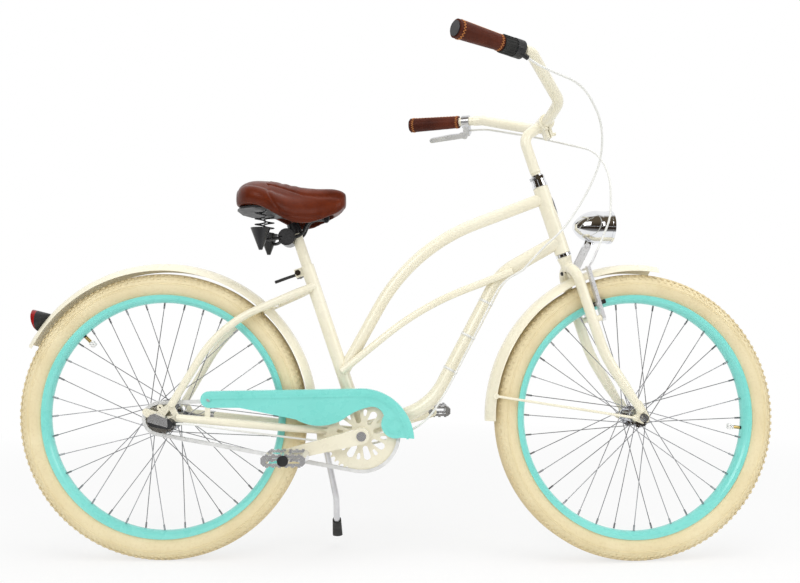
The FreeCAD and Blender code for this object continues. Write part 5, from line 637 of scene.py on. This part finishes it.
RIPPLE_AT_SHARE = 0.44
RIPPLE_SPREAD_SHARE = 0.13
RIPPLE_EDGE_SHARE = 0.35
RIPPLE_INSIDE_SHARE = 0.65
SWELL_HEIGHT = 0.0022
LUMP_HEIGHT = 0.0006
LUMP_NOISE_SCALE = 42.0


def saddle_form(low, high):
    """The part's own saddle, slightly smaller, with an even mesh."""
    piece = copy_of("saddle_cushion", "saddle_cover")
    middle = (low + high) / 2
    shrink = Matrix.Diagonal(SHRINK_SHARES)
    piece.data.transform(Matrix.Translation(middle) @ shrink @ Matrix.Translation(-middle))
    bpy.context.view_layer.objects.active = piece
    for other in bpy.context.selected_objects:
        other.select_set(False)
    piece.select_set(True)
    piece.data.remesh_voxel_size = SADDLE_GRID
    bpy.ops.object.voxel_remesh()
    return piece


def blow_up(piece):
    """Cloth pressure fills the cushion from a held underside, and no point moves past the limit."""
    rest = [v.co.copy() for v in piece.data.vertices]
    held = piece.vertex_groups.new(name="held")
    for v in piece.data.vertices:
        if v.normal.z < HELD_SLOPE:
            held.add([v.index], 1.0, "REPLACE")
    cloth = piece.modifiers.new("fill", "CLOTH")
    cloth.settings.quality = 6
    cloth.settings.mass = 0.3
    cloth.settings.tension_stiffness = 25
    cloth.settings.compression_stiffness = 25
    cloth.settings.bending_stiffness = 1.5
    cloth.settings.use_pressure = True
    cloth.settings.uniform_pressure_force = 4.0
    cloth.settings.vertex_group_mass = "held"
    cloth.settings.effector_weights.gravity = 0.0
    cloth.collision_settings.use_collision = False
    cloth.point_cache.frame_start = 1
    cloth.point_cache.frame_end = CLOTH_FRAMES
    for step in range(1, CLOTH_FRAMES + 1):
        scene.frame_set(step)
    blown = applied(piece)
    for v, at, was in zip(piece.data.vertices, blown.vertices, rest):
        move = at.co - was
        v.co = was + move * min(1.0, CLOTH_LIMIT / max(move.length, TINY))
    bpy.data.meshes.remove(blown)
    scene.frame_set(1)


def soften(piece):
    """Evens the mesh out and makes it finer."""
    smoother = piece.modifiers.new("soften", "SMOOTH")
    smoother.factor = 0.5
    smoother.iterations = 6
    finer = piece.modifiers.new("finer", "SUBSURF")
    finer.levels = finer.render_levels = 1
    piece.data = applied(piece)


def bell(offset, width):
    """1 in the middle, falling off to both sides."""
    return math.exp(-(offset / width) ** 2)


def saddle_pull(at, slope, low, high):
    """How far seams, hem, ripples and lumps draw a point of the cushion in."""
    length, half, tall = high.x - low.x, (high.y - low.y) / 2, high.z - low.z
    along = (at.x - low.x) / length
    across = abs(at.y - ((low + high) / 2).y) / half
    edge = PANEL_REAR_SHARE - PANEL_TAPER_SHARE * along
    inside = max(0.0, 1 - across / edge)
    on_panel = across < edge - PANEL_MARGIN_SHARE
    panel = bell((across - edge) * half, PANEL_WIDTH) if PANEL_START_SHARE < along < PANEL_END_SHARE else 0
    fall = min(1.0, max(0.0, (high.z - FLANK_TOP - at.z) / (tall * FLANK_FALL_SHARE)))
    swoop = PANEL_START_SHARE + FLANK_RUN_SHARE * fall ** FLANK_POWER
    flank = bell((along - swoop) * length, FLANK_WIDTH) if across > edge - PANEL_MARGIN_SHARE else 0
    hem = bell(at.z - (low.z + HEM_HEIGHT_SHARE * tall), HEM_WIDTH) if slope < HEM_SLOPE else 0
    jitter = RIPPLE_JITTER * noise.noise(at * RIPPLE_NOISE_SCALE)
    ripple = math.sin(along * RIPPLE_RATE + RIPPLE_SLANT * across + jitter)
    fade = RIPPLE_EDGE_SHARE + RIPPLE_INSIDE_SHARE * inside
    wave = ripple * bell(along - RIPPLE_AT_SHARE, RIPPLE_SPREAD_SHARE) * fade if across < edge else 0
    swell = SWELL_HEIGHT * inside if on_panel and along > PANEL_START_SHARE else 0
    seams = PANEL_DEPTH * panel + FLANK_DEPTH * flank + HEM_DEPTH * hem
    return seams - RIPPLE_DEPTH * wave - swell + noise.noise(at * LUMP_NOISE_SCALE) * LUMP_HEIGHT


def saddle():
    """Cushion blown up from the part's own form by cloth pressure, then creased along its seams."""
    low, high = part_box("saddle_cover")
    piece = saddle_form(low, high)
    blow_up(piece)
    soften(piece)
    normals = [v.normal.copy() for v in piece.data.vertices]
    for v, out in zip(piece.data.vertices, normals):
        if out.z >= UNDERSIDE_SLOPE:
            v.co -= out * saddle_pull(v.co, out.z, low, high)
    piece.data.polygons.foreach_set("use_smooth", [True] * len(piece.data.polygons))
    piece.data.materials.clear()
    dress(piece, vinyl)
    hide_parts("saddle_cover")
    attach(piece, "saddle")


saddle()


# Cables and springs that run between two bodies, copied, the cables cut into short lengths

LOOP_FOOT = (0.300, -0.01, 0.690)
LOOP_TOP = (0.395, -0.06, 0.985)
LOOP_WAY = (0.31, 0, 0.95)
LOOP_CUTS = 24
HOUSING_TOP = (0.485, -0.02, 0.850)
HOUSING_FOOT = (0.483, -0.03, 0.760)
HOUSING_CUTS = 8


def bending(name, node_name, finish, start, end, cuts, axis):
    """Copy of a cable, cut into short lengths."""
    piece = copy_of(name, node_name)
    build = bmesh.new()
    build.from_mesh(piece.data)
    for k in range(1, cuts):
        at = V(start) + (V(end) - V(start)) * k / cuts
        everything = build.verts[:] + build.edges[:] + build.faces[:]
        bmesh.ops.bisect_plane(build, geom=everything, plane_co=at, plane_no=V(axis), dist=NEAR)
    build.to_mesh(piece.data)
    build.free()
    dress(piece, finish)
    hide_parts(node_name)
    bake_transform(piece)
    return piece


shift_loop = bending("shift_housing_loop", "shift_cable_loop", white_housing,
                     LOOP_FOOT, LOOP_TOP, LOOP_CUTS, LOOP_WAY)
brake_housing = bending("brake_housing", "front_brake_cable", white_housing,
                        HOUSING_TOP, HOUSING_FOOT, HOUSING_CUTS, (0, 0, 1))
springs = copy_of("saddle_coils", "saddle_springs")
dress(springs, black_paint)
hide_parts("saddle_springs")
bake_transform(springs)


# Tyre tread and side ridges: block rows as (angle past the tread's edge, width, depth)

HALF_TREAD = 0.018
TYRE_SIDE = 0.027
BEAD = V((0.2895, 0.0147))
TREAD_BLOCKS = 132
BLOCK_ROWS = ((0.17, 0.0075, 0.0048), (0.46, 0.0060, 0.0040))
BLOCK_SINK = 0.0006
BLOCK_HEIGHT = 0.0009
BLOCK_TOP_SHARE = 0.82
BLOCK_FACES = ((4, 5, 6, 7), (0, 1, 5, 4), (1, 2, 6, 5), (2, 3, 7, 6), (3, 0, 4, 7))
RIDGE_STEPS = 160
RIDGE_LIFTS = (0.78, 0.90, 1.95, 2.15)
RIDGE_SPACING = 0.022
RIDGE_HEIGHTS = (-0.0003, 0.0005, 0.0008, 0.0005, -0.0003)


def circle(a, b, c):
    """Centre and radius of the circle through three flat points."""
    d = 2 * (a.x * (b.y - c.y) + b.x * (c.y - a.y) + c.x * (a.y - b.y))
    aa, bb, cc = a.length_squared, b.length_squared, c.length_squared
    x = (aa * (b.y - c.y) + bb * (c.y - a.y) + cc * (a.y - b.y)) / d
    y = (aa * (c.x - b.x) + bb * (a.x - c.x) + cc * (b.x - a.x)) / d
    middle = V((x, y))
    return middle, (a - middle).length


def tyre_side():
    """Middle and radius of the tyre's round side, and the angle where its tread ends."""
    shoulder = V((WHEEL_RADIUS, HALF_TREAD))
    belly = V(((WHEEL_RADIUS + RIM_RADIUS) / 2, TYRE_SIDE))
    middle, radius = circle(shoulder, belly, BEAD)
    return middle, radius, math.atan2(shoulder.y - middle.y, shoulder.x - middle.x)


def shoulder_blocks(build, put, side):
    """Two rows of tapered blocks, half a step apart."""
    middle, radius, first = tyre_side()
    for row, (lift, wide, deep) in enumerate(BLOCK_ROWS):
        out = V((math.cos(first + lift), math.sin(first + lift)))
        slide = V((-out.y, out.x))
        for k in range(TREAD_BLOCKS):
            spin = 2 * math.pi * (k + 0.5 * row) / TREAD_BLOCKS
            corners = []
            for height, grow in ((-BLOCK_SINK, 1.0), (BLOCK_HEIGHT, BLOCK_TOP_SHARE)):
                for s, t in ((-1, -1), (1, -1), (1, 1), (-1, 1)):
                    flat = middle + out * (radius + height) + slide * (s * deep / 2 * grow)
                    corners.append(put(flat, spin + t * wide / 2 * grow / WHEEL_RADIUS, side))
            for face in BLOCK_FACES:
                build.faces.new([corners[i] for i in face])


def side_ridges(build, put, side):
    """Low rings moulded round the tyre's side."""
    middle, radius, first = tyre_side()
    for lift in RIDGE_LIFTS:
        rows = []
        for step, height in enumerate(RIDGE_HEIGHTS):
            angle = first + lift + (step - len(RIDGE_HEIGHTS) // 2) * RIDGE_SPACING
            flat = middle + V((math.cos(angle), math.sin(angle))) * (radius + height)
            rows.append([put(flat, 2 * math.pi * k / RIDGE_STEPS, side) for k in range(RIDGE_STEPS)])
        for one, two in zip(rows, rows[1:]):
            for k in range(RIDGE_STEPS):
                j = (k + 1) % RIDGE_STEPS
                build.faces.new((one[k], one[j], two[j], two[k]))


def tread(name, centre, turn, body, finish):
    """Shoulder blocks and moulded side ridges that stand on the tyre's round shoulders."""
    build = bmesh.new()

    def put(flat, swing, side):
        """Corner at a point of the tyre's section, swung round the axle."""
        point = V((flat.x * math.cos(swing), side * flat.y, flat.x * math.sin(swing)))
        return build.verts.new(centre + turn @ point)

    for side in (1, -1):
        shoulder_blocks(build, put, side)
        side_ridges(build, put, side)
    bmesh.ops.recalc_face_normals(build, faces=build.faces)
    piece = from_bmesh(name, build, finish, smooth=False)
    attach(piece, body)


tread("front_tread", FRONT_AXLE, TURN, "front_wheel", FINISH["front_tyre"])
tread("rear_tread", REAR_AXLE, Matrix.Identity(3), "rear_wheel", FINISH["rear_tyre"])


# Die caps on the valves

VALVE_CAP_REACH = 0.241
VALVE_CAP_HALF = 0.0064
FRONT_VALVE_ANGLE = -25.0
REAR_VALVE_ANGLE = 135.0
PIP_SPACING = 0.0030
PIP_RADIUS = 0.0011
PIP_HEIGHT = 0.00016
PIP_SIDES = 12
PIP_SPOTS = {
    1: ((0, 0),),
    2: ((-1, -1), (1, 1)),
    3: ((-1, -1), (0, 0), (1, 1)),
    4: ((-1, -1), (1, -1), (-1, 1), (1, 1)),
    5: ((-1, -1), (1, -1), (-1, 1), (1, 1), (0, 0)),
}


def pips(name, centre, turn, degrees, body):
    """Black pips on the five free faces of a valve's die cap."""
    a = math.radians(degrees)
    outward = turn @ V((math.cos(a), 0, math.sin(a)))
    middle = V(centre) + outward * VALVE_CAP_REACH
    axes = turn @ frame_of((math.cos(a), 0, math.sin(a)), (0, 1, 0))
    u, v, w = axes.col[0], axes.col[1], axes.col[2]
    pip = ((PIP_RADIUS, 0.0), (PIP_RADIUS, PIP_HEIGHT), (0, PIP_HEIGHT))
    build = bmesh.new()
    for out, across, away, count in ((u, v, w, 3), (-u, v, w, 4), (v, u, w, 2), (-v, u, w, 5), (-w, u, v, 1)):
        for s, t in PIP_SPOTS[count]:
            at = middle + out * VALVE_CAP_HALF + across * s * PIP_SPACING + away * t * PIP_SPACING
            lathe(build, pip, at, out, PIP_SIDES)
    piece = from_bmesh(name, build, black_paint)
    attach(piece, body)


pips("front_valve_pips", FRONT_AXLE, TURN, FRONT_VALVE_ANGLE, "front_wheel")
pips("rear_valve_pips", REAR_AXLE, Matrix.Identity(3), REAR_VALVE_ANGLE, "rear_wheel")


# Stitching on the grips

RIGHT_GRIP_START = 0.084
LEFT_GRIP_START = 0.062
GRIP_RADIUS = 0.0155
GRIP_FLARE = 0.0030
THREAD_LIFT = 0.0004
STITCH_RADIUS = 0.0006
STITCH_SIDES = 6
STITCH_FACING = V((0, -0.55, 0.84))
GRIP_STITCHES = 26
ZIGZAG_START = 0.010
ZIGZAG_END = 0.014
ZIGZAG_TURN = 0.11
RING_STITCHES = 40
RING_START = 0.006
RING_END = 0.009
RING_SWAY = 0.0028


def stitches(name, side, start):
    """Zigzag of waxed thread along the top of a grip's wrap, with a ring of it round each end."""
    flip = V((1, side, 1))
    high = steered(BAR_HIGH * flip)
    tip = steered(BAR_TIP * flip)
    axis = (tip - high).normalized()
    run = (tip - high).length
    look = STITCH_FACING - axis * STITCH_FACING.dot(axis)
    look.normalize()
    across = axis.cross(look)
    build = bmesh.new()

    def at(distance, turn):
        share = (distance - start) / (run - start)
        radius = GRIP_RADIUS + GRIP_FLARE * share + THREAD_LIFT
        return high + axis * distance + (look * math.cos(turn) + across * math.sin(turn)) * radius

    first, last = start + ZIGZAG_START, run - ZIGZAG_END
    for k in range(GRIP_STITCHES):
        low, far = (first + (last - first) * (k + end) / GRIP_STITCHES for end in (0, 1))
        sway = ZIGZAG_TURN if k % 2 else -ZIGZAG_TURN
        bar(build, at(low, sway), at(far, -sway), STITCH_RADIUS, STITCH_SIDES)
    for middle in (start + RING_START, run - RING_END):
        for k in range(RING_STITCHES):
            sway = RING_SWAY if k % 2 else -RING_SWAY
            one, two = (2 * math.pi * (k + end) / RING_STITCHES for end in (0, 1))
            bar(build, at(middle - sway, one), at(middle + sway, two), STITCH_RADIUS, STITCH_SIDES)
    piece = from_bmesh(name, build, thread)
    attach(piece, "steering")


stitches("right_grip_stitching", -1, RIGHT_GRIP_START)
stitches("left_grip_stitching", 1, LEFT_GRIP_START)


# Headlight inside

BOWL_RADIUS = 0.0335
BOWL_DEPTH = 0.026
BOWL_BACK = 0.030
BOWL_NECK = 0.0045
BOWL_STEPS = 8
BOWL_SIDES = 40
BULB_SIDES = 24


def lamp_inside():
    """Polished bowl with a small bulb behind the lens."""
    build = bmesh.new()
    bowl = [(BOWL_NECK, -BOWL_BACK)]
    for k in range(1, BOWL_STEPS + 1):
        bowl.append((BOWL_RADIUS * math.sqrt(k / BOWL_STEPS), BOWL_DEPTH * k / BOWL_STEPS - BOWL_BACK))
    lathe(build, bowl, LAMP_MOUTH, LAMP_AXIS, BOWL_SIDES)
    piece = from_bmesh("headlight_reflector", build, chrome)
    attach(piece, "headlight")
    build = bmesh.new()
    bulb = [(0.0042, -BOWL_BACK), (0.0042, -0.024), (0.0050, -0.021), (0.0060, -0.016), (0.0052, -0.011),
            (0, -0.008)]
    lathe(build, bulb, LAMP_MOUTH, LAMP_AXIS, BULB_SIDES)
    piece = from_bmesh("headlight_bulb", build, glass)
    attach(piece, "headlight")


lamp_inside()


# Plain badge on the head tube and the bolt behind the fork's crown

BADGE_SEAT = 0.0180
BADGE_THICKNESS = 0.0010
BADGE_EDGE_POWER = 6
BADGE_SWING = 0.66
BADGE_HALF_HEIGHT = 0.0225
BADGE_AT = 0.1225
BADGE_STEPS = 10
BADGE_SIDES = 40
CROWN_BOLT_AT = (-0.0165, 0, -0.0360)
CROWN_BOLT_SIDES = 24


def badge():
    """Unmarked oval plate, bowed round the front of the head tube."""
    build = bmesh.new()
    rows = []
    for k in range(BADGE_STEPS + 1):
        share = k / BADGE_STEPS
        lift = BADGE_SEAT + BADGE_THICKNESS * (1 - share ** BADGE_EDGE_POWER)
        row = []
        for i in range(BADGE_SIDES):
            a = 2 * math.pi * i / BADGE_SIDES
            swing = BADGE_SWING * share * math.cos(a)
            rise = BADGE_HALF_HEIGHT * share * math.sin(a)
            point = V((lift * math.cos(swing), lift * math.sin(swing), BADGE_AT + rise))
            row.append(build.verts.new(STEER_BASE + LEAN @ point))
            if k == 0:
                break
        rows.append(row)
    for i in range(BADGE_SIDES):
        build.faces.new((rows[0][0], rows[1][i], rows[1][(i + 1) % BADGE_SIDES]))
    for low, high in zip(rows[1:], rows[2:]):
        for i in range(BADGE_SIDES):
            j = (i + 1) % BADGE_SIDES
            build.faces.new((low[i], high[i], high[j], low[j]))
    piece = from_bmesh("head_badge", build, badge_enamel)
    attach(piece, "frame")


def crown_bolt():
    """Round-headed bolt that holds the fender behind the fork's crown."""
    build = bmesh.new()
    head = [(0.0050, 0.0), (0.0050, 0.0022), (0.0042, 0.0036), (0.0024, 0.0042), (0.0020, 0.0030),
            (0, 0.0030)]
    lathe(build, head, steered(CROWN_BOLT_AT), TURN @ V((-1, 0, 0)), CROWN_BOLT_SIDES)
    piece = from_bmesh("crown_bolt_head", build, black_paint)
    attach(piece, "steering")


badge()
crown_bolt()


# Bands that hold the shift cable to the down tube

BAND_HEIGHTS = (0.60, 0.52, 0.44)
BAND_HALF = 0.0030
STRAP_SIDES = 40
LOOP_SIDES = 20
DOWN_TUBE_LOW = V((0.077, 0, 0.365))
DOWN_TUBE_HIGH = V((0.237, 0, 0.671))
CABLE_TOP = V((0.236, -0.025, 0.650))
CABLE_FOOT = V((0.114, -0.023, 0.408))


def band_outline(inner, outer, crown):
    """Section of a band: flat inside, slightly round outside."""
    return [(inner, -BAND_HALF), (outer, -BAND_HALF), (crown, 0.0), (outer, BAND_HALF), (inner, BAND_HALF)]


STRAP = band_outline(inner=0.0170, outer=0.0176, crown=0.0178)
CABLE_LOOP = band_outline(inner=0.0026, outer=0.0036, crown=0.0038)


def cable_band(name, height):
    """Thin strap round the down tube and the cable beside it."""
    way = CABLE_FOOT - CABLE_TOP
    cable = CABLE_TOP + way * ((CABLE_TOP.z - height) / (CABLE_TOP.z - CABLE_FOOT.z))
    axis = (DOWN_TUBE_HIGH - DOWN_TUBE_LOW).normalized()
    centre = DOWN_TUBE_LOW + axis * (cable - DOWN_TUBE_LOW).dot(axis)
    build = bmesh.new()
    lathe(build, STRAP, centre + MIDDLE, axis, STRAP_SIDES)
    lathe(build, CABLE_LOOP, cable + MIDDLE, -way, LOOP_SIDES)
    piece = from_bmesh(name, build, white_housing)
    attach(piece, "frame")


for band, height in enumerate(BAND_HEIGHTS):
    cable_band("cable_band_" + str(band), height)


# Floor, light and camera

WHITE = (1, 1, 1)
DARK_ROOM = (0.030, 0.022, 0.015)
FLOOR_HALF = 30.0
FLOOR_GAP = 0.0005
FADE_START = 0.8
FADE_END = 3.0
NEAR_ROOM_START = 0.85
NEAR_ROOM_END = 1.2


def plainly_seen(tree, path):
    """1 where the eye meets a surface, straight or by way of a mirror or lens."""
    seen = either(tree, path.outputs["Is Camera Ray"], path.outputs["Is Glossy Ray"])
    return either(tree, seen, path.outputs["Is Transmission Ray"])


def floor():
    """Pale floor whose near end, toward the camera, is dark in mirrors only."""
    build = bmesh.new()
    bmesh.ops.create_grid(build, x_segments=1, y_segments=1, size=FLOOR_HALF)
    made = bpy.data.materials.new("pale_floor")
    made.use_nodes = True
    tree = made.node_tree
    tree.nodes.clear()
    shade = clouded(tree, scale=0.8, detail=2.0, deep=(0.90, 0.90, 0.90), light=(0.92, 0.92, 0.92))
    matt = node(tree, "ShaderNodeBsdfDiffuse", {"Color": shade})
    path = node(tree, "ShaderNodeLightPath")
    toward = distance_along(tree, (0, 0, 0), (0, -1, 0))
    near_room = spread(tree, toward, NEAR_ROOM_START, NEAR_ROOM_END, 0.0, 1.0)
    near_room = both(tree, near_room, path.outputs["Is Glossy Ray"])
    colour = mixed(tree, near_room, WHITE, DARK_ROOM)
    glow = node(tree, "ShaderNodeEmission", {"Color": colour, "Strength": 1.0})
    fade = spread(tree, distance_from(tree, (0, 0, 0)), FADE_START, FADE_END, 0.72, 1.0)
    blend = node(tree, "ShaderNodeMixShader", {0: both(tree, plainly_seen(tree, path), fade)})
    tree.links.new(matt.outputs[0], blend.inputs[1])
    tree.links.new(glow.outputs[0], blend.inputs[2])
    out = node(tree, "ShaderNodeOutputMaterial")
    tree.links.new(blend.outputs[0], out.inputs["Surface"])
    piece = from_bmesh("floor", build, made, smooth=False)
    piece.location.z = cad_box[0][2] - FLOOR_GAP


def lamp(name, at, toward, tall, wide, power):
    light = bpy.data.lights.new(name, "AREA")
    light.shape = "RECTANGLE"
    light.size = wide
    light.size_y = tall
    light.energy = power
    piece = bpy.data.objects.new(name, light)
    piece.location = at
    piece.rotation_euler = (V(toward) - V(at)).to_track_quat("-Z", "Y").to_euler()
    scene.collection.objects.link(piece)
    return piece


def studio():
    """White surround, three soft lamps, and a dark room behind the camera that shows in mirrors only."""
    world = bpy.data.worlds.new("studio")
    scene.world = world
    world.use_nodes = True
    tree = world.node_tree
    tree.nodes.clear()
    path = node(tree, "ShaderNodeLightPath")
    strength = spread(tree, plainly_seen(tree, path), 0.0, 1.0, 0.55, 1.0)
    direction = node(tree, "ShaderNodeTexCoord").outputs["Generated"]
    way = node(tree, "ShaderNodeSeparateXYZ", {0: direction}).outputs
    toward = spread(tree, way["Y"], -0.26, 0.04, 1.0, 0.0)
    over_floor = spread(tree, way["Z"], -0.03, 0.02, 0.0, 1.0)
    below_top = spread(tree, way["Z"], 0.95, 0.995, 1.0, 0.0)
    room = both(tree, both(tree, toward, both(tree, over_floor, below_top)), path.outputs["Is Glossy Ray"])
    shade = ramp(tree, way["Z"], ((0.02, (0.020, 0.014, 0.009)), (0.55, (0.110, 0.085, 0.055))))
    colour = mixed(tree, room, WHITE, shade)
    sky = node(tree, "ShaderNodeBackground", {"Color": colour, "Strength": strength})
    out = node(tree, "ShaderNodeOutputWorld")
    tree.links.new(sky.outputs[0], out.inputs["Surface"])
    top = lamp("top_soft", at=(0.2, -0.6, 3.2), toward=(0, 0, 0.4), tall=2.2, wide=3.0, power=46.0)
    top.visible_glossy = False
    lamp("front_soft", at=(-1.6, -3.2, 2.2), toward=(0, 0, 0.55), tall=1.8, wide=2.2, power=42.0)
    lamp("side_soft", at=(2.6, -1.8, 1.6), toward=(0.2, 0, 0.6), tall=1.2, wide=1.4, power=18.0)


def camera():
    """Level camera where the photo's stood, with its lens shifted as there."""
    lens = bpy.data.cameras.new("photo_camera")
    lens.sensor_fit = "HORIZONTAL"
    lens.sensor_width = FILM_WIDTH
    lens.lens = FILM_WIDTH * FOCAL_LENGTH / PHOTO_WIDTH
    lens.shift_x = SHIFT_ACROSS / PHOTO_WIDTH
    lens.shift_y = SHIFT_UP / PHOTO_WIDTH
    lens.clip_start = 0.01
    lens.clip_end = 200.0
    piece = bpy.data.objects.new("photo_camera", lens)
    piece.location = CAMERA_AT
    piece.rotation_euler = (math.radians(90), 0, 0)
    scene.collection.objects.link(piece)
    scene.camera = piece


floor()
studio()
camera()
scene.view_settings.view_transform = "Standard"
